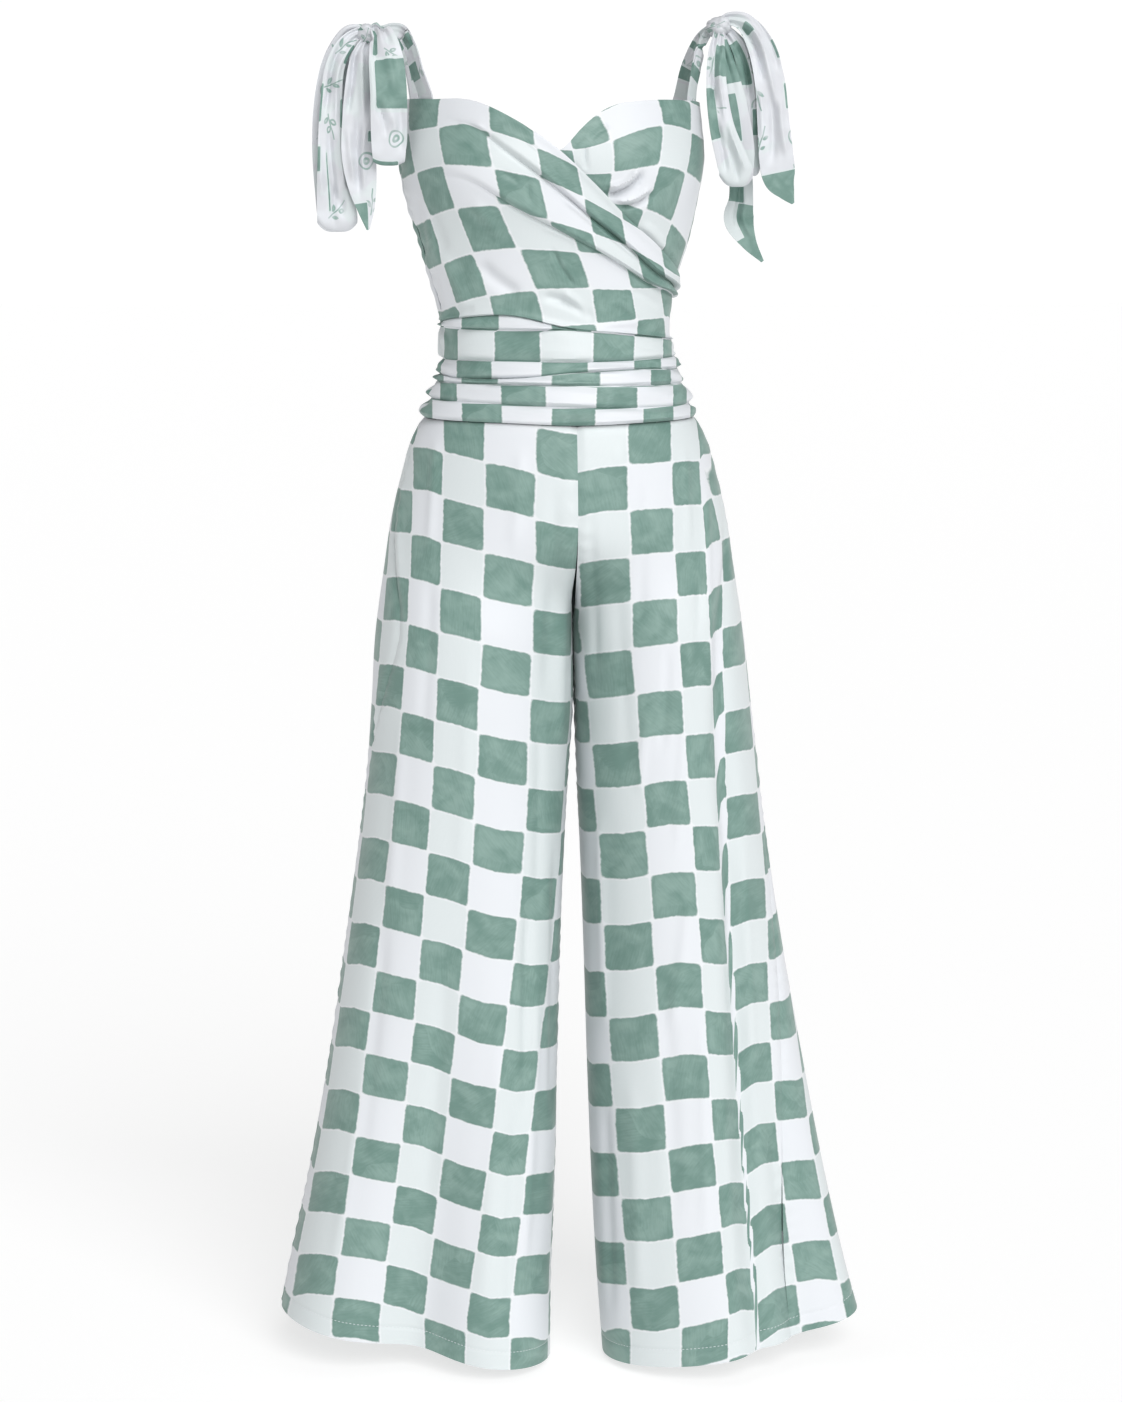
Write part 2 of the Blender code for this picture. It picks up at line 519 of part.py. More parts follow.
def knot_block(name, place, size, colour):
    """A small round block, as wide, deep and high as the knot it stands for."""
    bpy.ops.mesh.primitive_uv_sphere_add(segments=10, ring_count=7, radius=1, location=place)
    made = bpy.context.object
    made.name = made.data.name = name
    made.scale = size
    bpy.ops.object.transform_apply(location=False, rotation=False, scale=True)
    made.data.shade_smooth()
    made.data.materials.clear()
    made.data.materials.append(material(name, colour))
    return made


def cut_clear(made, cutter):
    """Trims a ribbon or strap back to the face of the knot."""
    trim = made.modifiers.new("clear_of_knot", "BOOLEAN")
    trim.operation = "DIFFERENCE"
    trim.object = cutter


def line_from_knot(knot, rows, count):
    """A table's middle line, in the part's own frame."""
    across, forward, up = (smooth_line(rows[name], count) for name in ("across", "forward", "up"))
    return knot + np.stack([across, -forward, up], 1)


def strap(wearer_side, side, place, knot):
    """A strap from inside the bodice's top edge up to the knot."""
    turn = STRAP_TURNS[place]
    edges = UNDER_EDGE if place == "front" else BACK_EDGE
    highest = read(edges, "edge", turn + np.array([-STRAP_LEAN, 0, STRAP_LEAN]), "turn").max()
    heights = highest + np.array([0.003, -0.4 * STRAP_DROP, -STRAP_DROP])
    turns = np.radians(side * turn) + 0 * heights
    walls = 2 * WALL + LAP if (place, side) == ("front", 1) else WALL
    foot = off(torso, turns, heights, 0 * heights - walls - STRAP_ROOM - TIE_WALL / 2)
    rows = STRAPS[wearer_side][place]
    line = np.concatenate([line_from_knot(knot, rows, len(rows["up"])), foot])
    widths = np.concatenate([rows["width"], [STRAP_WIDTH] * len(foot)])
    count = 2 * len(line) - 1
    middle = np.stack([smooth_line(line[:, k], count) for k in range(3)], 1)
    round_the_body = np.cross(outward_normal(torso, turns[:1], heights[:1]), (0, 0, 1.0))
    lying = np.clip(np.linspace(0, 1.5, count), 0, 1)[:, None]
    across = round_the_body * lying + np.array([0, 0, -side]) * (1 - lying)
    tangent = np.gradient(middle, axis=0)
    tangent /= np.linalg.norm(tangent, axis=1, keepdims=True)
    across = across - tangent * (across * tangent).sum(1, keepdims=True)
    name = f"strap_{place}_{wearer_side}"
    return strip(name, middle, smooth_line(widths, count), TIE_WALL, PALE, across, columns=3, bow=0)


def shoulder(wearer_side, side):
    """One shoulder: a strap before and one behind, run into a knot, with two loops and two tails."""
    knot = np.array(KNOTS[wearer_side])
    knot_block("knot_" + wearer_side, knot, KNOT_SIZE, WHITE)
    room = knot_block("room_for_knot_" + wearer_side, knot, tuple(a + KNOT_ROOM for a in KNOT_SIZE), WHITE)
    room.hide_render = True
    room.display_type = "WIRE"
    for name, rows in RIBBONS[wearer_side].items():
        count = 2 * len(rows["up"]) - 1
        middle = line_from_knot(knot, rows, count)
        widths = smooth_line(rows["width"], count)
        colour = PALE if "loop" in name else WHITE
        cut_clear(strip(name + "_" + wearer_side, middle, widths, TIE_WALL, colour), room)
    for place in ("front", "back"):
        cut_clear(strap(wearer_side, side, place, knot), room)


def main():
    for old in list(bpy.data.objects):
        bpy.data.objects.remove(old)
    bodice_wrap("bodice_front_wrap", PALE)
    bodice_under("bodice_front_under", GREEN)
    bodice_back("bodice_back_right", -1, PALE)
    bodice_back("bodice_back_left", 1, PALE)
    midriff("midriff_front", FRONT_TURNS, GREEN)
    midriff("midriff_back_right", [-turn for turn in reversed(BACK_TURNS)], GREEN)
    midriff("midriff_back_left", BACK_TURNS, GREEN)
    for wearer_side, side in (("right", -1), ("left", 1)):
        trouser_panel("trouser_front_" + wearer_side, side, True, PALE)
        trouser_panel("trouser_back_" + wearer_side, side, False, WHITE)
        shoulder(wearer_side, side)


main()
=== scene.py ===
import json
import math

import bpy
import mathutils
import numpy as np
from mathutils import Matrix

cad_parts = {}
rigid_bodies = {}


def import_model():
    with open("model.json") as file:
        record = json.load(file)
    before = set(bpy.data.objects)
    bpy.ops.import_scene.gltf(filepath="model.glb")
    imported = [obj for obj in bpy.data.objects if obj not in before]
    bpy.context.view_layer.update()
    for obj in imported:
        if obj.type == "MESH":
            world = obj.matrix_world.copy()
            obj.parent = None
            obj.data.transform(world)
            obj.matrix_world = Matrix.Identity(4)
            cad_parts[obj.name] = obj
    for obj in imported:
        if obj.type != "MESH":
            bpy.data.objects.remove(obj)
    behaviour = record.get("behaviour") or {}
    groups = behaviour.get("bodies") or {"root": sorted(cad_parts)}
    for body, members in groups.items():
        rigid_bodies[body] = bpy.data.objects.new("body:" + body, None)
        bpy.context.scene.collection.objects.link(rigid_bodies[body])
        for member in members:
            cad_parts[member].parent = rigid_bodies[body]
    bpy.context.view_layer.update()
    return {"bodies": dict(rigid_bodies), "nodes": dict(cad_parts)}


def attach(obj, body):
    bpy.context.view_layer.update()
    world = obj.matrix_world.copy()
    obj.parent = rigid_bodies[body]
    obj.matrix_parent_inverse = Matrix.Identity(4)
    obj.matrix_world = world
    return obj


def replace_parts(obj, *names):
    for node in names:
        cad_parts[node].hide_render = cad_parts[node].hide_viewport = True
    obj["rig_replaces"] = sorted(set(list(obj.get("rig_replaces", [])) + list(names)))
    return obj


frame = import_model()
kept = set(frame["nodes"].values()) | set(frame["bodies"].values())
for old in [thing for thing in bpy.data.objects if thing not in kept]:
    bpy.data.objects.remove(old)
bpy.ops.object.select_all(action="DESELECT")
print("frame loaded:", len(frame["nodes"]), "pieces of cloth")

# Where the photo was taken from, in metres and degrees, and its frame in pixels
photo = {"wide": 1122, "high": 1402, "focal": 2870, "azimuth": -5.5, "pitch": 9.0,
         "distance": 3.1, "aside": -0.0108, "height": -0.22}
millimetres = 1000

# The cloth: its walls and the check's pitch in metres, and how its print goes on beyond what the photo shows
cloth = {"wall": 0.0014, "doubled": 0.0016, "lap": 0.0008, "columnPitch": 0.052, "rowPitch": 0.0475,
         "smoothAngle": math.radians(50), "leastFill": 0.31, "facing": 0.30, "fadeRows": 7, "evenRows": 34,
         "edgeColumns": 10, "farColumns": 30}


def rows(names, values):
    # a small table as named columns
    return dict(zip(names.split(), np.array(values, float).T))


def lengths(names, values):
    # the same with its lengths in millimetres: turns and spreads are in degrees, and a seam is a share
    return {name: column if name in ("turn", "spread", "twist", "seam") else column / millimetres
            for name, column in rows(names, values).items()}


def ridges(values):
    # creases by their two ends: depth is in millimetres, and below 0 it is a trough
    return rows("x0 y0 x1 y1 width depth bow", values)


def eased(share):
    return share * share * (3 - 2 * share)


def read(table, name, at, along="height"):
    # a column's value on a smooth curve through its rows
    knots, values = table[along], table[name]
    if knots[0] > knots[-1]:
        knots, values = knots[::-1], values[::-1]
    slopes = np.gradient(values, knots)
    at = np.clip(at, knots[0], knots[-1])
    k = np.clip(np.searchsorted(knots, at) - 1, 0, len(knots) - 2)
    step = knots[k + 1] - knots[k]
    f = (at - knots[k]) / step
    start = (1 + 2 * f) * (1 - f) ** 2 * values[k] + f * (1 - f) ** 2 * step * slopes[k]
    return start + f**2 * (3 - 2 * f) * values[k + 1] - f**2 * (1 - f) * step * slopes[k + 1]


# The body's plain round, and where its cups are
body = {
    "rounds": lengths("height half front back sway", [
        (-50, 154, 94, 90, -19), (-90, 159, 103, 95, -19), (-130, 162.5, 108, 98, -20),
        (-170, 156, 104, 97, -20), (-215, 144.5, 97, 93, -18), (-255, 132.5, 91, 88, -19),
        (-290, 123.5, 88, 84, -18), (-320, 121.5, 88, 84, -16), (-345, 124, 91, 88, -13),
        (-375, 134.5, 97, 97, -13), (-400, 146, 103, 107, -13), (-425, 158.5, 109, 115, -13),
        (-460, 169, 115, 121, -13), (-510, 181, 119, 125, -13), (-560, 189, 120, 125, -13),
        (-640, 201, 120, 122, -12), (-720, 208, 118, 120, -10)]),
    "centreLead": 0.009, "cupTurn": math.radians(36), "cupSpread": math.radians(24),
    "cupHeight": -0.145, "cupReach": 0.055, "cupDepth": 0.016,
}


def torso(turn, height):
    # points on the body's round: turn 0 is the centre front, a quarter turn is the left side
    table = body["rounds"]
    half = read(table, "half", height)
    depth = np.where(np.cos(turn) > 0, read(table, "front", height), read(table, "back", height))
    for side in (-1, 1):
        offTurn = (turn - side * body["cupTurn"]) / body["cupSpread"]
        offHeight = (height - body["cupHeight"]) / body["cupReach"]
        cup = body["cupDepth"] * np.exp(-(offTurn**2) - offHeight**2)
        half, depth = half + cup, depth + cup
    x = read(table, "sway", height) + body["centreLead"] * np.cos(turn) + half * np.sin(turn)
    return np.stack([x, -depth * np.cos(turn), height + 0 * turn], -1)


def unit(vectors):
    return vectors / (np.linalg.norm(vectors, axis=-1, keepdims=True) + 1e-12)


def outwardNormal(surface, u, v, step=1e-4):
    across = surface(u + step, v) - surface(u - step, v)
    up = surface(u, v + step) - surface(u, v - step)
    return unit(np.cross(across, up))


def onBody(turn, height):
    return torso(turn, height), outwardNormal(torso, turn, height)


# The camera's own axes, and where a point of the part falls on the photo
def cameraAxes():
    turn, pitch = math.radians(photo["azimuth"]), math.radians(photo["pitch"])
    right = np.array([math.cos(turn), math.sin(turn), 0])
    level = np.array([-math.sin(turn), math.cos(turn), 0])
    ahead = level * math.cos(pitch) - np.array([0, 0, math.sin(pitch)])
    place = right * photo["aside"] - level * photo["distance"] + np.array([0, 0, photo["height"]])
    return place, right, np.cross(right, ahead), ahead


def onPhoto(points):
    place, right, up, ahead = cameraAxes()
    away = points - place
    scale = photo["focal"] / (away @ ahead)
    return photo["wide"] / 2 + scale * (away @ right), photo["high"] / 2 - scale * (away @ up)


def facingCamera(points, normals):
    toCamera = cameraAxes()[0] - points
    return (toCamera * normals).sum(-1) / np.linalg.norm(toCamera, axis=-1)


def alongRows(points):
    # arc length along each row of a grid
    steps = np.linalg.norm(np.diff(points, axis=1), axis=-1)
    return np.concatenate([np.zeros((len(points), 1)), np.cumsum(steps, axis=1)], axis=1)


def downColumns(points):
    return alongRows(points.swapaxes(0, 1)).T


def smoothRows(values, reach):
    # evens out each column of a grid over the rows near it
    spread = np.exp(-((np.arange(-3 * reach, 3 * reach + 1) / reach) ** 2) / 2)
    spread /= spread.sum()
    wide = np.pad(values, ((3 * reach, 3 * reach), (0, 0)), mode="reflect", reflect_type="odd")
    return sum(share * wide[k:k + len(values)] for k, share in enumerate(spread))


def smoothLine(values, count):
    knots = np.arange(len(values), dtype=float)
    return read({"at": knots, "value": np.asarray(values, float)}, "value",
                np.linspace(0, knots[-1], count), "at")


def creaseLift(x, y, table, scale=1):
    # how far a table's creases raise the cloth, each along a slightly bowed line
    lift = 0 * x
    for x0, y0, x1, y1, width, depth, bow in zip(*table.values()):
        length = math.hypot(x1 - x0, y1 - y0)
        alongX, alongY = (x1 - x0) / length, (y1 - y0) / length
        share = ((x - x0) * alongX + (y - y0) * alongY) / length
        away = (x - x0) * alongY - (y - y0) * alongX - bow * 4 * share * (1 - share)
        ends = eased(np.clip(share * 4, 0, 1) * np.clip((1 - share) * 4, 0, 1))
        lift = lift + depth * ends * np.exp(-((away / width) ** 2))
    return scale * lift / millimetres


def backView(points):
    # a place on the back, in millimetres across and down from the origin
    return points[..., 0] * millimetres, -points[..., 2] * millimetres


def raised(points, normals, lift):
    return points + normals * lift[..., None]


def makeSheet(name, outer, uv, wall, materials, innerSlot=0, blocks=None):
    # a thin shell of cloth from a grid of points on its outer face
    high, wide = outer.shape[:2]
    index = np.arange(high * wide).reshape(high, wide)
    quads = np.stack([index[:-1, :-1], index[:-1, 1:], index[1:, 1:], index[1:, :-1]], -1).reshape(-1, 4)
    mesh = bpy.data.meshes.new(name)
    mesh.from_pydata(outer.reshape(-1, 3).tolist(), [], quads.tolist())
    flat = uv.reshape(-1, 2)[quads.ravel()]
    layer = mesh.uv_layers.new(name="clothGrain")
    layer.data.foreach_set("uv", flat.ravel())
    if blocks is not None:
        mesh.attributes.new("block", "FLOAT", "POINT").data.foreach_set("value", blocks.ravel())
    for material in materials:
        mesh.materials.append(material)
    piece = bpy.data.objects.new(name, mesh)
    bpy.context.scene.collection.objects.link(piece)
    bpy.ops.object.select_all(action="DESELECT")
    piece.select_set(True)
    bpy.context.view_layer.objects.active = piece
    thick = piece.modifiers.new("wall", "SOLIDIFY")
    thick.thickness = wall
    thick.offset = -1
    thick.material_offset = innerSlot
    bpy.ops.object.modifier_apply(modifier="wall")
    bpy.ops.object.shade_smooth_by_angle(angle=cloth["smoothAngle"])
    return piece


def settle(piece, node):
    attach(piece, "root")
    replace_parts(piece, node)


def cutSize(points, takeUp):
    # widest row, longest column and area of the cloth before it was sewn
    across, down = alongRows(points)[:, -1], downColumns(points)[-1]
    a, b = points[1:, :-1] - points[:-1, :-1], points[:-1, 1:] - points[:-1, :-1]
    area = np.linalg.norm(np.cross(a, b), axis=-1).sum() * takeUp
    width, length = across.max(), down.max() * takeUp
    return (width, length), max(min(area, width * length), cloth["leastFill"] * width * length)


def declare(piece, points, held, node, slot, takeUp=1.0, places=3, **more):
    flat, area = cutSize(points, takeUp)
    settle(piece, node)
    print(piece.name, "cut", [round(size, 3) for size in flat], "area", round(area, places))


def newBall(name, **sizes):
    # a piece that starts as a ball, with nothing else selected
    bpy.ops.object.select_all(action="DESELECT")
    bpy.ops.mesh.primitive_uv_sphere_add(**sizes)
    piece = bpy.context.object
    piece.name = piece.data.name = name
    return piece


# Materials

def put(tree, kind, settings=None, **values):
    # a node with its settings, and each input linked or set: an input is named by its label or by i0, i1, i2
    node = tree.nodes.new("ShaderNode" + kind)
    for name, value in (settings or {}).items():
        setattr(node, name, value)
    for name, value in values.items():
        place = int(name[1:]) if name[1:].isdigit() else name.replace("_", " ")
        if isinstance(value, bpy.types.NodeSocket):
            tree.links.new(value, node.inputs[place])
        else:
            node.inputs[place].default_value = value
    return node.outputs


def maths(tree, operation, *values):
    return put(tree, "Math", {"operation": operation}, **{f"i{k}": v for k, v in enumerate(values)})[0]


def times(tree, first, second):
    return maths(tree, "MULTIPLY", first, second)


def plus(tree, first, second):
    return maths(tree, "ADD", first, second)


def noise(tree, place, scale, detail, output=0, **more):
    return put(tree, "TexNoise", Vector=place, Scale=scale, Detail=detail, **more)[output]


def vectors(tree, operation, *values, output=0, **named):
    named.update({f"i{k}": value for k, value in enumerate(values)})
    return put(tree, "VectorMath", {"operation": operation}, **named)[output]


def ramp(tree, value, low, high, start=0.0, end=1.0):
    settings = {"interpolation_type": "SMOOTHSTEP"}
    return put(tree, "MapRange", settings, i0=value, i1=low, i2=high, i3=start, i4=end)[0]


def blendColours(tree, share, first, second):
    return put(tree, "Mix", {"data_type": "RGBA"}, i0=share, i6=first, i7=second)[2]


# The check's colours, the shape of its squares, and how its paint pools, streaks and wears
check = {
    "green": (0.173, 0.284, 0.250, 1), "greenLight": (0.236, 0.347, 0.311, 1),
    "greenDeep": (0.110, 0.204, 0.174, 1), "mint": (0.600, 0.651, 0.656, 1),
    # the ties' white is an evenly darker copy of the check's white: painted shade standing in for the
    # ribbons' folds
    "white": (0.662, 0.684, 0.716, 1), "gap": (0.700, 0.719, 0.738, 1), "tieShadedWhite": (0.585, 0.598, 0.628, 1),
    "wander": 0.045, "fuzz": 0.027, "half": 0.483, "edge": 0.021, "roundness": 14.0,
    "brush": (3.0, 26.0, 1.0), "brushTurn": 2.6, "pools": 0.75, "streaks": 0.35, "chance": 0.16,
    "pale": 0.42, "dark": 0.86, "even": 0.30, "rimFrom": 0.36, "rimTo": 0.47, "rim": 0.55, "worn": 0.35,
}


def cells(tree, place):
    # the cell that a place lies in, and the place from the cell's middle
    cell = vectors(tree, "FLOOR", place)
    local = vectors(tree, "SUBTRACT", place, cell)
    return cell, vectors(tree, "SUBTRACT", local, (0.5, 0.5, 0))


def turned(tree, place, angle):
    return put(tree, "VectorRotate", {"rotation_type": "Z_AXIS"}, Vector=place, Angle=angle)[0]


def checkPattern(tree, grain):
    # hand-painted squares: returns the cloth's colour at uv place grain, a square to a whole number
    wanderX = noise(tree, grain, 0.9, 1.5, output=1)
    fuzz = noise(tree, grain, 9.0, 3.0, Roughness=0.6)
    moved = vectors(tree, "SUBTRACT", wanderX, (0.5, 0.5, 0.5))
    moved = vectors(tree, "SCALE", moved, Scale=check["wander"] * 2)
    cell, local = cells(tree, vectors(tree, "ADD", grain, moved))
    part = put(tree, "SeparateXYZ", i0=local)
    index = put(tree, "SeparateXYZ", i0=cell)
    power = check["roundness"]
    sides = [maths(tree, "POWER", maths(tree, "ABSOLUTE", part[k]), power) for k in (0, 1)]
    away = maths(tree, "POWER", plus(tree, *sides), 1 / power)
    wobble = times(tree, maths(tree, "SUBTRACT", fuzz, 0.5), check["fuzz"] * 2)
    away = plus(tree, away, wobble)
    inside = ramp(tree, away, check["half"] + check["edge"], check["half"] - check["edge"])
    parity = maths(tree, "MODULO", plus(tree, index[0], index[1]), 2.0)
    isLight = maths(tree, "GREATER_THAN", parity, 0.5)
    evenColumn = maths(tree, "LESS_THAN", maths(tree, "MODULO", index[0], 2.0), 0.5)
    chance = put(tree, "TexWhiteNoise", {"noise_dimensions": "3D"}, Vector=cell)[0]
    # paint: broad pools, brush streaks that turn from square to square, and a darker rim
    pools = noise(tree, grain, 2.1, 3.0, Roughness=0.55, Distortion=0.4)
    brushed = turned(tree, local, times(tree, chance, check["brushTurn"]))
    brushed = vectors(tree, "ADD", vectors(tree, "MULTIPLY", brushed, check["brush"]), cell)
    streaks = noise(tree, brushed, 1.0, 3.0, Roughness=0.6)
    parts = [times(tree, paint, check[name]) for name, paint in
             (("pools", pools), ("streaks", streaks), ("chance", chance))]
    tone = plus(tree, plus(tree, parts[0], parts[1]), parts[2])
    depth = ramp(tree, tone, check["pale"], check["dark"])
    green = blendColours(tree, depth, check["greenDeep"], check["greenLight"])
    green = blendColours(tree, check["even"], green, check["green"])
    rim = ramp(tree, away, check["rimFrom"], check["rimTo"])
    rim = times(tree, rim, times(tree, pools, check["rim"]))
    green = blendColours(tree, rim, green, check["greenDeep"])
    light = blendColours(tree, evenColumn, check["white"], check["mint"])
    light = blendColours(tree, times(tree, streaks, check["worn"]), light, check["gap"])
    shade = blendColours(tree, isLight, green, light)
    return blendColours(tree, inside, check["gap"], shade)


def weaveBump(tree, strength):
    spot = put(tree, "TexCoord")[3]
    fine = noise(tree, spot, 1500.0, 2.0)
    soft = noise(tree, spot, 34.0, 2.0)
    height = plus(tree, times(tree, fine, 0.10), times(tree, soft, 0.9))
    return put(tree, "Bump", Strength=strength, Distance=0.0012, Height=height)[0]


def setInputs(shader, **values):
    for name, value in values.items():
        shader.inputs[name.replace("_", " ")].default_value = value


def finishShader(material, colour, roughness, bump):
    tree = material.node_tree
    shader = tree.nodes["Principled BSDF"]
    tree.links.new(colour, shader.inputs["Base Color"])
    tree.links.new(bump, shader.inputs["Normal"])
    setInputs(shader, Roughness=roughness, Specular_IOR_Level=0.40, Sheen_Weight=0.10, Sheen_Roughness=0.45)


def newMaterial(name):
    material = bpy.data.materials.new(name)
    material.use_nodes = True
    return material, material.node_tree


def newCloth(name):
    material, tree = newMaterial(name)
    return material, tree, put(tree, "UVMap", {"uv_map": "clothGrain"})[0]


def checkedCloth(name):
    material, tree, grain = newCloth(name)
    grain = vectors(tree, "ADD", grain, (40.0, 40.0, 0.0))
    finishShader(material, checkPattern(tree, grain), 0.46, weaveBump(tree, 0.35))
    return material


dressCloth = checkedCloth("dressCloth")


# The ties' sprigs, in shares of a cell: the line's width, each leaf's place and lean, the rings round a dot,
# and which cells of the chance from 0 to 1 hold a sprig or rings
sprig = {
    "line": 0.018, "spread": (1.1, 1.1, 1.0), "wander": 0.16, "stem": (0.34, 0.32),
    "leaves": ((0.10, 0.16, -0.8), (-0.10, 0.06, 0.8), (0.10, -0.08, -0.8)), "leafReach": 0.07,
    "leafRound": 0.125, "rings": (0.21, 0.11), "dot": (0.05, 0.03), "sprigFrom": 0.45, "ringsTo": 0.24,
}


def sprigPattern(tree, grain):
    # small sprigs, rings and dots in one thin line on white, in staggered places
    line = sprig["line"]
    spread = vectors(tree, "MULTIPLY", grain, sprig["spread"])
    wander = noise(tree, grain, 2.2, 1.0, output=1)
    wander = vectors(tree, "SCALE", wander, Scale=sprig["wander"])
    cell, local = cells(tree, vectors(tree, "ADD", spread, wander))
    chance = put(tree, "TexWhiteNoise", {"noise_dimensions": "3D"}, Vector=cell)[0]
    leaning = turned(tree, local, times(tree, chance, 6.28))

    def outline(distance, radius):
        off = maths(tree, "ABSOLUTE", maths(tree, "SUBTRACT", distance, radius))
        return ramp(tree, off, line * 1.6, line * 0.6)

    def leaf(x, y, lean, size):
        # an almond: the far one of two circles' distances
        spot = turned(tree, vectors(tree, "SUBTRACT", leaning, (x, y, 0.0)), lean)
        reach = [vectors(tree, "DISTANCE", spot, (shift, 0.0, 0.0), output=1) for shift in (-size, size)]
        return maths(tree, "MAXIMUM", *reach)

    across = maths(tree, "ABSOLUTE", put(tree, "SeparateXYZ", i0=leaning)[0])
    stem = ramp(tree, vectors(tree, "LENGTH", leaning, output=1), *sprig["stem"])
    ink = times(tree, ramp(tree, across, line * 1.4, line * 0.5), stem)
    for x, y, lean in sprig["leaves"]:
        almond = outline(leaf(x, y, lean, sprig["leafReach"]), sprig["leafRound"])
        ink = maths(tree, "MAXIMUM", ink, almond)
    isSprig = maths(tree, "GREATER_THAN", chance, sprig["sprigFrom"])
    middle = vectors(tree, "LENGTH", local, output=1)
    rings = maths(tree, "MAXIMUM", *(outline(middle, radius) for radius in sprig["rings"]))
    rings = maths(tree, "MAXIMUM", rings, ramp(tree, middle, *sprig["dot"]))
    isRing = maths(tree, "LESS_THAN", chance, sprig["ringsTo"])
    ink = plus(tree, times(tree, ink, isSprig), times(tree, rings, isRing))
    faint = noise(tree, grain, 3.0, 2.0)
    return times(tree, ink, ramp(tree, faint, 0.25, 0.62, 0.35, 1.0))


def printedCloth(name):
    # white, darkened in random patches by painted shade, with line sprigs, and painted blocks where the
    # ribbon's table puts them: 1 is green, a half mint
    material, tree, grain = newCloth(name)
    block = put(tree, "Attribute", {"attribute_name": "block"})[2]
    fray = noise(tree, grain, 9.0, 3.0, Roughness=0.6)
    block = plus(tree, block, times(tree, maths(tree, "SUBTRACT", fray, 0.5), 0.16))
    wash = noise(tree, grain, 1.3, 2.0)
    # the ties' ground wanders at random between the check's white and its darker copy, which paints shade
    # onto the ribbons in patches
    ground = blendColours(tree, ramp(tree, wash, 0.40, 0.70), check["tieShadedWhite"], check["white"])
    patch = noise(tree, grain, 0.75, 2.5, Distortion=0.3)
    ground = blendColours(tree, ramp(tree, patch, 0.54, 0.58, 0.0, 0.8), ground, check["mint"])
    colour = blendColours(tree, sprigPattern(tree, grain), ground, check["greenLight"])
    colour = blendColours(tree, ramp(tree, block, 0.20, 0.34), colour, check["mint"])
    streaks = noise(tree, grain, 2.6, 3.0, Distortion=0.5)
    green = blendColours(tree, ramp(tree, streaks, 0.35, 0.70), check["greenDeep"], check["greenLight"])
    green = blendColours(tree, 0.45, green, check["green"])
    colour = blendColours(tree, ramp(tree, block, 0.66, 0.78), colour, green)
    finishShader(material, colour, 0.54, weaveBump(tree, 0.30))
    return material


tiePrint = printedCloth("tiePrint")


def plainGreen(name):
    material, tree, grain = newCloth(name)
    wash = noise(tree, grain, 3.0, 3.0)
    colour = blendColours(tree, ramp(tree, wash, 0.35, 0.70), check["greenDeep"], check["green"])
    finishShader(material, colour, 0.56, weaveBump(tree, 0.30))
    return material


tieGreen = plainGreen("tieGreen")
print("materials made")

# Trousers. A leg's rounds run from its inside by the front, outside and back to its inside again.
def foldLine(values):
    # a long fold down a leg: where it lies round the leg and how wide it is, in degrees, and its lift
    return lengths("height turn spread lift", values)


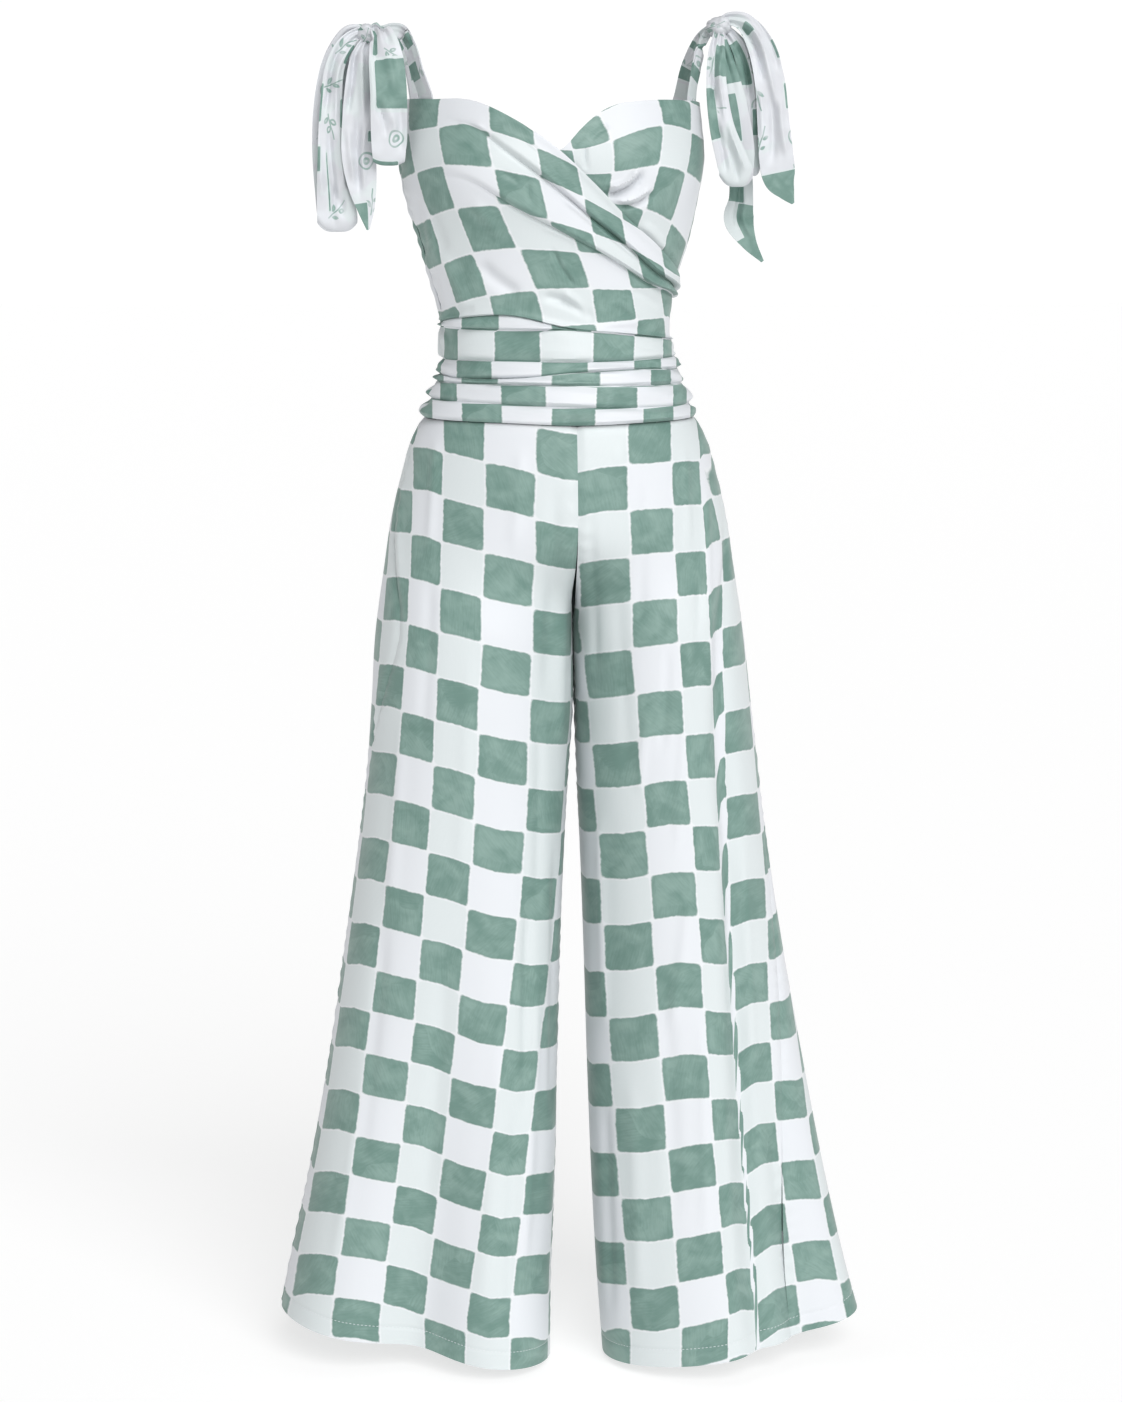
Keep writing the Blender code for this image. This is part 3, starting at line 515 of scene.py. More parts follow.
# lines and middles hold the check as read from the photo in pixels: x of each line between columns, and
# y of each row's middle
trousers = {
    "splitTop": -0.490, "crotch": -0.633, "hem": -1.4215, "hemTilt": 0.0215,
    "down": 236, "hemRows": 24, "hemBand": 0.026, "across": 86, "seenTo": 1.35, "creaseScale": 2.8,
    -1: {
        "rounds": lengths("height inner outer centre front back skew twist seam", [
            (-400, 0, 159, 2, 116, 122, 0, 0, 0.5), (-470, 0, 185, 2, 117, 123, 0, 0, 0.47),
            (-560, 0, 202, 2, 118, 124, 0, 0, 0.412), (-633, -1, 212.5, 2, 115, 122, 0, 0, 0.4),
            (-710, -1.8, 217.5, 2, 113, 120, 0, 0, 0.445), (-780, 3.2, 222.8, 2, 112, 120, 3, 0, 0.49),
            (-860, 8, 232.5, 2, 112, 121, 7, 0, 0.5), (-980, 13, 249.2, 3, 113, 123, 13, 0, 0.5),
            (-1120, 16.5, 270, 4, 115, 126, 19, 0, 0.5), (-1260, 21, 295.8, 5, 118, 130, 25, 0, 0.5),
            (-1350, 24.8, 315.5, 5, 120, 133, 28, 0, 0.5), (-1445, 26, 335, 5, 120, 135, 30, 0, 0.5)]),
        "folds": [
            foldLine([(-700, 97, 30, 0), (-950, 97, 30, -12), (-1200, 96, 29, -34), (-1445, 95, 27, -56)]),
            foldLine([(-600, 235, 20, 0), (-1000, 235, 20, -14), (-1445, 232, 18, -34)]),
            foldLine([(-550, 300, 18, 0), (-900, 300, 18, -12), (-1445, 298, 17, -30)])],
        "lines": rows("y l0 l1 l2 l3 l4 l5", [
            (500, 394, 413, 443, 485, 536, 592), (650, 379, 406, 438, 481, 532, 584),
            (851, 356, 389, 428, 472, 524, 562), (1100, 325, 360, 406, 449, 497, 534),
            (1320, 287, 331, 380, 424, 466, 510)]),
        "firstLine": -3,
        "middles": rows("row m0 m1 m2 m3 m4 m5", [
            (-10, 378, 380, 389, 398, 409, 414), (-8, 467, 469, 480, 490, 503, 508),
            (-4, 642, 649, 659, 671, 679, 681), (0, 816, 825, 836, 851, 856, 854),
            (4, 986, 996, 1006, 1023, 1030, 1026), (8, 1150, 1160, 1168, 1186, 1198, 1193),
            (12, 1315, 1319, 1329, 1344, 1359, 1356)]),
        "firstMiddle": -3, "printShift": 1, "creaseColumn": -1,
    },
    1: {
        "rounds": lengths("height inner outer centre front back skew twist seam", [
            (-400, 0, 133, 2, 116, 122, 0, 0, 0.5), (-470, 0, 159, 2, 117, 123, 0, 0, 0.5),
            (-560, 0.5, 176, 2, 118, 124, 0, 0, 0.5), (-633, 1, 188, 2, 115, 122, 0, 0, 0.5),
            (-710, 3.6, 197, 1, 113, 120, 0, 0, 0.5), (-780, 5.8, 205.5, -1, 111, 120, 0, -6, 0.5),
            (-860, 9.5, 215.5, -4, 109, 120, 0, -13, 0.5), (-980, 13.6, 234.2, -9, 106, 121, 0, -23, 0.5),
            (-1120, 17.2, 259.7, -17, 103, 124, 0, -35, 0.5), (-1260, 22, 287.7, -25, 101, 127, 0, -47, 0.5),
            (-1350, 26.5, 308.5, -30, 100, 129, 0, -55, 0.5), (-1445, 33, 335, -35, 100, 130, 0, -62, 0.5)]),
        "folds": [
            foldLine([
                (-780, 128, 26, 0), (-1000, 128, 26, -10), (-1250, 128, 26, -28), (-1445, 127, 25, -42)]),
            foldLine([
                (-480, 150, 8, 0), (-600, 131, 8, -6), (-720, 122, 8, -9), (-860, 121, 8, -11),
                (-1100, 111, 8, -13), (-1445, 97, 8, -15)]),
            foldLine([(-600, 222, 19, 0), (-1000, 222, 19, -12), (-1445, 220, 18, -32)]),
            foldLine([(-550, 280, 18, 0), (-900, 280, 18, -12), (-1445, 276, 17, -30)])],
        "lines": rows("y l0 l1 l2 l3 l4 l5 l6", [
            (470, 572, 628, 672, 700, 704, 740, 770), (523, 575, 630, 674, 704, 718, 746, 776),
            (650, 583, 633, 680, 711, 722, 757, 787), (776, 594, 642, 688, 716, 725, 762, 794),
            (851, 599, 648, 694, 720, 727, 765, 798), (1000, 607, 657, 704, 731, 734, 769, 803),
            (1100, 613, 664, 711, 738, 740, 774, 808), (1320, 631, 681, 729, 756, 758, 801, 846)]),
        "firstLine": 0,
        "middles": rows("row m0 m1 m2 m3 m4 m5 m6", [
            (-8, 500, 489, 486, 482, 478, 473, 470), (-4, 678, 675, 668, 664, 653, 645, 641),
            (0, 854, 856, 848, 848, 824, 815, 811), (4, 1040, 1040, 1030, 1035, 1002, 984, 980),
            (8, 1219, 1221, 1213, 1203, 1168, 1143, 1139), (12, 1390, 1401, 1388, 1376, 1340, 1309, 1300)]),
        "firstMiddle": -1, "printShift": 0, "creaseColumn": 3,
    },
}

# Creases on the fronts, in the photo's pixels, and on the backs in millimetres across and down
frontCreases = ridges([
    (555, 470, 545, 720, 7, -1, 2), (566, 560, 560, 760, 5, 1, -1), (540, 700, 536, 930, 5, -0.8, 1),
    (530, 880, 528, 1130, 5, -1.6, -2), (536, 960, 520, 1300, 6, 1.3, 2), (556, 820, 552, 1140, 4, -1.2, 0),
    (516, 1090, 508, 1360, 5, -1.2, 0), (500, 1010, 478, 1340, 8, 0.9, 3), (470, 640, 458, 900, 8, 0.7, 2),
    (430, 560, 420, 760, 6, -0.7, 2), (446, 940, 420, 1230, 9, -0.9, 3), (402, 700, 388, 930, 6, 0.8, 2),
    (386, 900, 352, 1200, 7, -1, 3), (370, 1040, 330, 1290, 7, 0.9, 2), (436, 430, 428, 560, 5, 0.8, 1),
    (590, 500, 596, 690, 4, -0.9, 1), (600, 800, 606, 1040, 5, 1, -1), (614, 560, 628, 800, 7, -0.6, 2),
    (648, 470, 640, 640, 5, -0.7, -2), (650, 700, 640, 800, 4, 0.8, -2), (668, 640, 660, 760, 4, -0.8, 2),
    (686, 700, 676, 860, 4, 0.8, 0), (690, 880, 668, 1040, 6, 1, 3), (706, 470, 712, 720, 4, 1, -1),
    (700, 1000, 706, 1260, 6, 0.9, 2), (662, 960, 676, 1240, 7, -0.8, 2), (630, 1060, 640, 1330, 8, 0.8, 2),
    (604, 1080, 612, 1330, 5, -1.1, 0), (740, 820, 752, 1120, 5, 0.9, 2), (770, 1100, 800, 1330, 6, -1, -3),
    (720, 1080, 736, 1330, 5, 1, 1), (700, 560, 696, 700, 3, -0.7, 0), (684, 440, 688, 560, 4, 0.8, 1),
    (620, 440, 622, 520, 6, 0.6, 1), (520, 440, 512, 560, 7, 0.6, 2)])
backCreases = ridges([
    (-30, 470, -38, 760, 8, -1, 2), (-62, 520, -78, 900, 9, 0.9, 3), (-104, 560, -118, 860, 7, -0.9, 2),
    (-140, 640, -162, 1010, 9, 1, 3), (-92, 900, -108, 1300, 9, -1.2, 4), (-150, 1000, -182, 1380, 9, 1.1, 3),
    (-48, 820, -56, 1200, 8, 1, 1), (-196, 900, -236, 1260, 7, -1, 4), (-120, 440, -126, 560, 6, 0.8, 1),
    (34, 480, 40, 800, 8, -0.9, -2), (66, 540, 80, 960, 9, 1, -3), (108, 520, 122, 830, 7, -0.8, -2),
    (132, 700, 158, 1080, 9, 0.9, -3), (84, 920, 100, 1340, 9, -1.2, -2), (146, 1040, 176, 1390, 8, 1, -3),
    (52, 860, 60, 1240, 8, 0.9, 1), (190, 880, 228, 1240, 7, -1, -3), (118, 430, 124, 560, 6, 0.7, 1)])

midriff = {
    "heights": lengths("turn top shelf one two three four foot", [
        (-180, -308, -308.2, -338, -352, -364, -384, -399), (-90, -299, -303.5, -338, -355, -362, -380, -400),
        (-60, -294, -304.5, -338, -357, -362, -381, -401),
        (-30, -291.5, -305.6, -338, -356, -362, -383, -402),
        (0, -304.8, -305.2, -339, -350, -363, -386, -404.5),
        (30, -310.5, -310.7, -338, -347, -364, -387, -402.5),
        (60, -315.5, -315.7, -336, -348, -364, -386, -400.5),
        (90, -319, -319.2, -336, -348, -364, -384, -398), (180, -308, -308.2, -338, -352, -364, -384, -399)]),
    "lines": ("foot", "four", "three", "two", "one", "shelf", "top"),
    "lift": 0.0048, "lip": 0.14, "fullFold": 0.006, "least": 0.15, "tucked": -0.0012, "perFold": 13,
    "columns": 190, "uneven": 0.36, "ripple": 0.0006, "gather": 0.0009, "gatherFrom": 34, "gatherFull": 8,
    "gatherSlant": 0.020, "gatherPerFold": 1.15, "wrinkleScale": 1.6, "mirrorAt": 566, "facing": 0.22,
    # x of the lines between squares on each fold, in the photo's pixels, counted up from the foot
    "squares": rows("l0 l1 l2 l3 l4 l5 l6 l7 rowTop rowFoot shift", [
        (433, 461, 503, 551, 596, 643, 674, 690, 1.15, 1.72, 1),
        (440, 457, 500, 547, 596, 638, 673, 687, 2.12, 2.9, 0),
        (444, 461, 498, 551, 601, 651, 671, 682, 3.3, 3.85, 1),
        (440, 456, 492, 541, 588, 634, 662, 676, 5.1, 5.7, 1),
        (444, 458, 494, 541, 592, 635, 663, 672, 6.15, 6.85, 1),
        (442, 461, 500, 551, 592, 635, 663, 672, 7.4, 7.8, 1)]),
    "wrinkles": ridges([
        (470, 357, 590, 356, 1.3, -0.6, 0.5), (535, 360, 592, 358, 0.9, 0.5, 0),
        (455, 350, 486, 352, 1.1, -0.6, 1), (640, 340, 668, 346, 1.2, -0.6, -1),
        (637, 350, 666, 352, 1, 0.6, -1), (600, 336, 634, 339, 1.4, -0.4, 0),
        (520, 377, 600, 373, 1.3, 0.7, 1), (550, 388, 598, 387, 1, 0.6, 0),
        (548, 383, 604, 380, 0.9, -0.5, 1), (462, 390, 494, 392, 1.2, -0.5, 1),
        (460, 384, 490, 385, 1, 0.6, 0), (650, 376, 676, 382, 1.2, 0.6, 1),
        (610, 393, 640, 394, 1.2, -0.5, 0), (640, 400, 684, 392, 1.2, 0.6, -1),
        (440, 398, 470, 402, 1.2, -0.6, 1), (480, 333, 530, 336, 1.2, 0.5, 1),
        (446, 372, 470, 373, 1, -0.7, 0), (655, 366, 680, 372, 1, -0.7, 1), (600, 412, 650, 410, 1.3, 0.5, 0),
        (430, 412, 470, 418, 1.3, 0.5, 1), (500, 408, 560, 412, 1.4, -0.4, 0)]),
    # the puckers over the centre front, in the photo's pixels
    "pucker": {"from": 557, "to": 604, "top": 413, "foot": 427, "pitch": 4.6, "lean": 0.9, "depth": 0.0011},
}


def legTurn(side, around, height):
    return 2 * math.pi * around + np.radians(read(trousers[side]["rounds"], "twist", height))


def leg(side, around, height):
    table = trousers[side]["rounds"]
    turn = legTurn(side, around, height)
    inner, outer = read(table, "inner", height), read(table, "outer", height)
    outward = -np.cos(turn)
    depth = np.where(np.sin(turn) > 0, read(table, "front", height), read(table, "back", height))
    x = side * ((inner + outer) / 2 + outward * (outer - inner) / 2)
    y = read(table, "centre", height) + read(table, "skew", height) * outward - depth * np.sin(turn)
    return np.stack([x, y, height + 0 * around], -1)


def trouserRound(side):
    def surface(around, height):
        down = (trousers["splitTop"] - height) / (trousers["splitTop"] - trousers["crotch"])
        down = np.clip(down, 0, 1)[..., None]
        split = down**3 * (4 - 3 * down)
        return (1 - split) * torso(side * math.pi * around, height) + split * leg(side, around, height)
    return surface


def legLift(side, around, height):
    turn = np.degrees(legTurn(side, around, height))
    lift = 0 * turn
    for fold in trousers[side]["folds"]:
        away = (turn - read(fold, "turn", height) + 180) % 360 - 180
        lift = lift + read(fold, "lift", height) * np.exp(-((away / read(fold, "spread", height)) ** 2))
    return lift


def trouserHalf(side, front):
    # the grid of one panel: its share round the leg, its height, and its seam's share
    band = 1 - trousers["hemBand"]
    shares = np.concatenate([np.linspace(0, band, trousers["down"], endpoint=False),
                             np.linspace(band, 1, trousers["hemRows"])])
    down, across = np.meshgrid(shares, np.linspace(0, 1, trousers["across"]), indexing="ij")
    table = trousers[side]["rounds"]

    def heightOf(around):
        top = read(midriff["heights"], "foot", side * 180 * around, "turn")
        turn = legTurn(side, around, trousers["hem"])
        return top + down * (trousers["hem"] - trousers["hemTilt"] * np.cos(turn) - top)

    seam = read(table, "seam", heightOf(0.5 + 0 * across))
    seam = read(table, "seam", heightOf(seam))
    first, last = (0 * seam, seam) if front else (seam, 0 * seam + 1)
    around = first + across * (last - first)
    return around, heightOf(around)


def steppedColumns(x, lines, first):
    # which column x lies in, as a fraction, from the x of the lines between columns
    place = first + np.minimum(x - lines[0], 0) / (lines[1] - lines[0])
    for a, b in zip(lines, lines[1:]):
        place = place + np.clip((x - a) / (b - a), 0, 1)
    return place + np.maximum(x - lines[-1], 0) / (lines[-1] - lines[-2])


def checkOnPhoto(side, x, y):
    table = trousers[side]
    lines = [read(table["lines"], name, y, "y") for name in table["lines"] if name != "y"]
    column = steppedColumns(x, lines, table["firstLine"])
    middles, found = table["middles"], []
    for name in middles:
        if name != "row":
            knots = middles[name]
            row = np.interp(y, knots, middles["row"])
            step = (middles["row"][-1] - middles["row"][-2]) / (knots[-1] - knots[-2])
            row = row + np.maximum(y - knots[-1], 0) * step + np.minimum(y - knots[0], 0) * step
            found.append(row)
    at = np.clip(column - 0.5 - table["firstMiddle"], 0, len(found) - 1.001)
    k = at.astype(int)
    late = np.clip(2 * (at - k) - 1, 0, 1)
    share = np.where(k == table["creaseColumn"], eased(late), at - k)
    found = np.stack(found)
    lower = np.take_along_axis(found, k[None], 0)[0]
    upper = np.take_along_axis(found, k[None] + 1, 0)[0]
    return column, lower + share * (upper - lower) + 0.5


def carryOut(value, seen, arc, slope):
    # keeps a value where the camera sees the cloth, and carries it on beyond by the cloth's own length
    found = value.copy()
    for i in np.flatnonzero(seen.any(1)):
        a, b = np.flatnonzero(seen[i])[[0, -1]]
        found[i, :a] = value[i, a] + slope * (arc[i, :a] - arc[i, a])
        found[i, b + 1:] = value[i, b] + slope * (arc[i, b + 1:] - arc[i, b])
    return found


def carryOn(value, seen, arc, slope):
    # the same, evened out more and more beyond what is seen
    first = seen.argmax(1)
    last = seen.shape[1] - 1 - seen[:, ::-1].argmax(1)
    found = carryOut(value, seen, arc, slope)
    smooth, even = smoothRows(found, cloth["fadeRows"]), smoothRows(found, cloth["evenRows"])
    column = np.arange(seen.shape[1])[None]
    inside = np.minimum(column - first[:, None], last[:, None] - column)
    share = np.clip((inside + 2) / cloth["edgeColumns"], 0, 1)
    far = np.clip((-inside - 4) / cloth["farColumns"], 0, 1)
    return share * found + (1 - share) * (smooth * (1 - far) + even * far)


# How seams and hems draw the cloth in, and the puckers beside them, in metres
seams = {
    "dip": 0.0024, "reach": 0.0048, "hemDepth": 0.020, "hemDip": 0.0007, "hemReach": 0.0022,
    "pucker": 0.0012, "pitch": 0.019, "fadeOut": 0.013, "sewn": 0.002, "start": 0.03,
    "leftShift": 0.013, "wander": 0.006, "wanderRate": 41, "uneven": 0.4, "unevenRate": 23,
}


def seamGroove(points):
    # the cloth dips where it is sewn to its neighbour, and puckers a little beside the seam
    arc, down = alongRows(points), downColumns(points)
    away = np.minimum(arc, arc[:, -1:] - arc)
    left = arc < arc[:, -1:] / 2
    run = down + seams["leftShift"] * left + seams["wander"] * np.sin(down * seams["wanderRate"])
    swell = 1 - seams["uneven"] + seams["uneven"] * np.sin(down * seams["unevenRate"] + 5 * left)
    pucker = np.sin(run * 2 * math.pi / seams["pitch"]) * swell
    fade = np.exp(-((away / seams["fadeOut"]) ** 2)) * (1 - np.exp(-((away / seams["sewn"]) ** 2)))
    fade = fade * np.clip(down / seams["start"], 0, 1)
    return -seams["dip"] * np.exp(-((away / seams["reach"]) ** 2)) + seams["pucker"] * pucker * fade


def sewn(points, normal, share=1):
    # a piece's points drawn in along its seams
    return raised(points, normal, seamGroove(points) * share)


def hemGroove(points):
    # the turned-up hem's line of stitching draws the cloth in
    down = downColumns(points)
    away = down[-1:] - down - seams["hemDepth"]
    return -seams["hemDip"] * np.exp(-((away / seams["hemReach"]) ** 2))


def topGroove(points):
    return -seams["dip"] * np.exp(-((downColumns(points) / seams["reach"]) ** 2))


thread = {"length": 0.0028, "width": 0.0007, "high": 0.0005, "pitch": 0.0043}


def threadLook():
    material, tree = newMaterial("thread")
    spot = put(tree, "TexCoord")[3]
    twist = noise(tree, spot, 2600.0, 2.0)
    colour = blendColours(tree, ramp(tree, twist, 0.35, 0.65), check["white"], check["gap"])
    bump = put(tree, "Bump", Strength=0.4, Distance=0.0002, Height=twist)[0]
    finishShader(material, colour, 0.5, bump)
    return material


threadWhite = threadLook()


def hemStitches(name, grid, normal):
    # one line of stitches along a hem, each a small rounded bar lying on the cloth
    down = downColumns(grid)
    wanted = down[-1] - seams["hemDepth"]
    lines = [np.stack([[np.interp(wanted[c], down[:, c], field[:, c, k]) for k in range(3)]
                       for c in range(grid.shape[1])]) for field in (grid, normal)]
    run = np.concatenate([[0], np.cumsum(np.linalg.norm(np.diff(lines[0], axis=0), axis=1))])
    places = np.arange(thread["pitch"] / 2, run[-1], thread["pitch"])
    spots, ups = (np.stack([np.interp(places, run, line[:, k]) for k in range(3)], 1) for line in lines)
    along, ups = unit(np.gradient(spots, axis=0)), unit(ups)
    piece = newBall(name, segments=6, ring_count=5, radius=0.5)
    bar = np.array([vertex.co for vertex in piece.data.vertices])
    faces = [tuple(face.vertices) for face in piece.data.polygons]
    bar = bar * (thread["length"], thread["width"], thread["high"])
    axes = np.stack([along, np.cross(ups, along), ups], 1)
    corners = spots[:, None] + np.einsum("vk,skd->svd", bar, axes)
    piece.data.clear_geometry()
    piece.data.from_pydata(corners.reshape(-1, 3).tolist(), [], [
        tuple(k + stitch * len(bar) for k in face) for stitch in range(len(spots)) for face in faces])
    piece.data.materials.append(threadWhite)
    bpy.ops.object.shade_smooth()
    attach(piece, "root")
    return piece


def trouserLeg(side, wearerSide):
    surface = trouserRound(side)
    grids, normals = [], []
    for front in (True, False):
        around, height = trouserHalf(side, front)
        plain, normal = surface(around, height), outwardNormal(surface, around, height) * side
        lift = legLift(side, around, height)
        x, y = onPhoto(raised(plain, normal, lift)) if front else backView(plain)
        creases = frontCreases if front else backCreases
        points = raised(plain, normal, lift + creaseLift(x, y, creases, trousers["creaseScale"]))
        dip = seamGroove(points) + topGroove(points) + hemGroove(points)
        if side < 0:
            dip = dip + pocketMouth(points, front)
        grids.append(raised(points, normal, dip))
        normals.append(normal)
    whole, outwards = np.concatenate(grids, 1), np.concatenate(normals, 1)
    fair = unit(np.cross(np.gradient(whole, axis=0), np.gradient(whole, axis=1)))
    fair = fair * np.sign((fair * outwards).sum(-1, keepdims=True))
    seen = facingCamera(whole, outwards) > cloth["facing"]
    wide = trousers["across"]
    seen[:, int(wide * trousers["seenTo"]):] = False
    column, row = checkOnPhoto(side, *onPhoto(whole))
    arc = alongRows(whole)
    column = carryOn(column, seen, arc, side / cloth["columnPitch"])
    row = carryOn(row, seen, arc, 0)
    uv = np.stack([column, row], -1) + trousers[side]["printShift"]
    for place, part in (("front", slice(0, wide)), ("back", slice(wide, None))):
        name = place + "Panel" + wearerSide
        grid, grain = whole[:, part][:, ::side], uv[:, part][:, ::side]
        piece = makeSheet(name, grid[::-1], grain[::-1], cloth["wall"], [dressCloth])
        stitches = hemStitches("hemStitches" + name[0].upper() + name[1:], whole[:, part], fair[:, part])
        declare(piece, grid, "hung", f"trouser_{place}_{wearerSide.lower()}", "dress_cloth",
                with_pieces=[stitches])


pocket = {"top": -0.452, "foot": -0.592, "gape": 0.0034, "sink": 0.0060, "reach": 0.012}


def pocketMouth(points, front):
    # the side pocket's mouth stands a little open: the front's edge lifts and the back's sinks
    arc = alongRows(points)
    away = arc[:, -1:] - arc if front else arc
    height = points[..., 2]
    share = np.clip((pocket["top"] - height) / (pocket["top"] - pocket["foot"]), 0, 1)
    opening = np.sin(math.pi * share) ** 0.7
    size = pocket["gape"] if front else -pocket["sink"]
    return size * opening * np.exp(-((away / pocket["reach"]) ** 2))


for side, wearerSide in ((-1, "Right"), (1, "Left")):
    trouserLeg(side, wearerSide)
print("trousers made")


# Midriff

def midriffHeight(degrees, level):
    lines = [read(midriff["heights"], name, degrees, "turn") for name in midriff["lines"]]
    height = lines[0]
    for k in range(len(lines) - 1):
        height = height + np.clip(level - k, 0, 1) * (lines[k + 1] - lines[k])
    return height


def midriffSquares(x, level, arc, seen, shift):
    # each fold shows its own stretch of the check, so its squares start and stop at the fold's edges
    folds = len(midriff["lines"]) - 1
    fold = np.clip(level.astype(int), 0, folds - 1)
    table = midriff["squares"]
    column = 0 * x
    for k in range(folds):
        lines = [table[f"l{n}"][k] + 0 * x for n in range(8)]
        column = np.where(fold == k, steppedColumns(x, lines, 0), column)
    row = table["rowFoot"][fold] + (level - fold) * (table["rowTop"][fold] - table["rowFoot"][fold])
    behind = shift + arc / cloth["columnPitch"] + 0.17 * np.sin(2.1 * fold)
    found = carryOut(column, seen, arc, 1 / cloth["columnPitch"])
    found = np.where(seen.any(1)[:, None], found, behind)
    return np.stack([found, row], -1) + table["shift"][fold][..., None]


def centrePuckers(x, y):
    pucker = midriff["pucker"]
    within = np.clip((x - pucker["from"]) / 8, 0, 1) * np.clip((pucker["to"] - x) / 8, 0, 1)
    within = within * np.clip((y - pucker["top"]) / 3, 0, 1) * np.clip((pucker["foot"] - y) / 2, 0, 1)
    wave = np.sin(2 * math.pi * (x + pucker["lean"] * (y - pucker["top"])) / pucker["pitch"])
    return pucker["depth"] * within * wave


def midriffPart(name, node, first, last, shift):
    isFront = last - first > 100
    folds = len(midriff["lines"]) - 1
    steps = np.linspace(0, 1, midriff["perFold"], endpoint=False) ** 1.35
    levels = np.concatenate([k + steps for k in range(folds)] + [[folds - 1e-6]])
    degrees = np.linspace(first, last, midriff["columns"] // (1 if isFront else 2))
    level, degrees = np.meshgrid(levels, degrees, indexing="ij")
    height, turn = midriffHeight(degrees, level), np.radians(degrees)
    part, fold = level % 1, np.floor(level)
    lip = midriff["lip"]
    swell = np.where(part < lip, np.sin(part / lip * math.pi / 2),
                     np.cos((part - lip) / (1 - lip) * math.pi / 2))
    lines = np.stack([midriffHeight(degrees[:1], k + 0 * degrees[:1])[0] for k in range(folds + 1)])
    tall = np.take_along_axis(np.diff(lines, axis=0), np.minimum(fold, folds - 1).astype(int), 0)
    lift = midriff["lift"] * swell * np.clip(tall / midriff["fullFold"], midriff["least"], 1.0)
    # the folds swell and sink unevenly along their length, and are gathered beside the side seams
    lift = lift * (1 + midriff["uneven"] * np.sin(turn * (3.1 + fold) + 2 * fold))
    away = np.abs(np.abs(degrees) - 90)
    reach = midriff["gatherFrom"] - midriff["gatherFull"]
    beside = np.clip((midriff["gatherFrom"] - away) / reach, 0, 1) ** 2
    wave = midriff["gatherPerFold"] * level + midriff["gatherSlant"] * degrees
    lift = lift + midriff["gather"] * beside * np.sin(2 * math.pi * wave + 1.3 * np.sign(degrees))
    ripples = np.sin(part * 9 + 5 * turn + 1.7 * fold) * np.sin(3.3 * turn + 2.2 * fold)
    lift = lift + midriff["ripple"] * ripples
    lift = np.where(level >= folds - 1e-3, midriff["tucked"], lift)
    plain, normal = onBody(turn, height)
    x, y = onPhoto(raised(plain, normal, lift))
    if isFront:
        lift = lift + creaseLift(x, y, midriff["wrinkles"], midriff["wrinkleScale"]) + centrePuckers(x, y)
    else:
        lift = lift + creaseLift(2 * midriff["mirrorAt"] - x, y, midriff["wrinkles"])
    points = sewn(raised(plain, normal, lift), normal)
    seen = facingCamera(points, normal) > midriff["facing"]
    uv = midriffSquares(x, level, alongRows(points), seen, shift)
    piece = makeSheet(name, points, uv, cloth["wall"], [dressCloth])
    declare(piece, points, "gathered", node, "dress_cloth", 1.15)


midriffPart("midriffFront", "midriff_front", -90, 90, 0)
midriffPart("midriffBackLeft", "midriff_back_left", 90, 180, 7.2)
midriffPart("midriffBackRight", "midriff_back_right", -180, -90, -3.6)
print("midriff made")

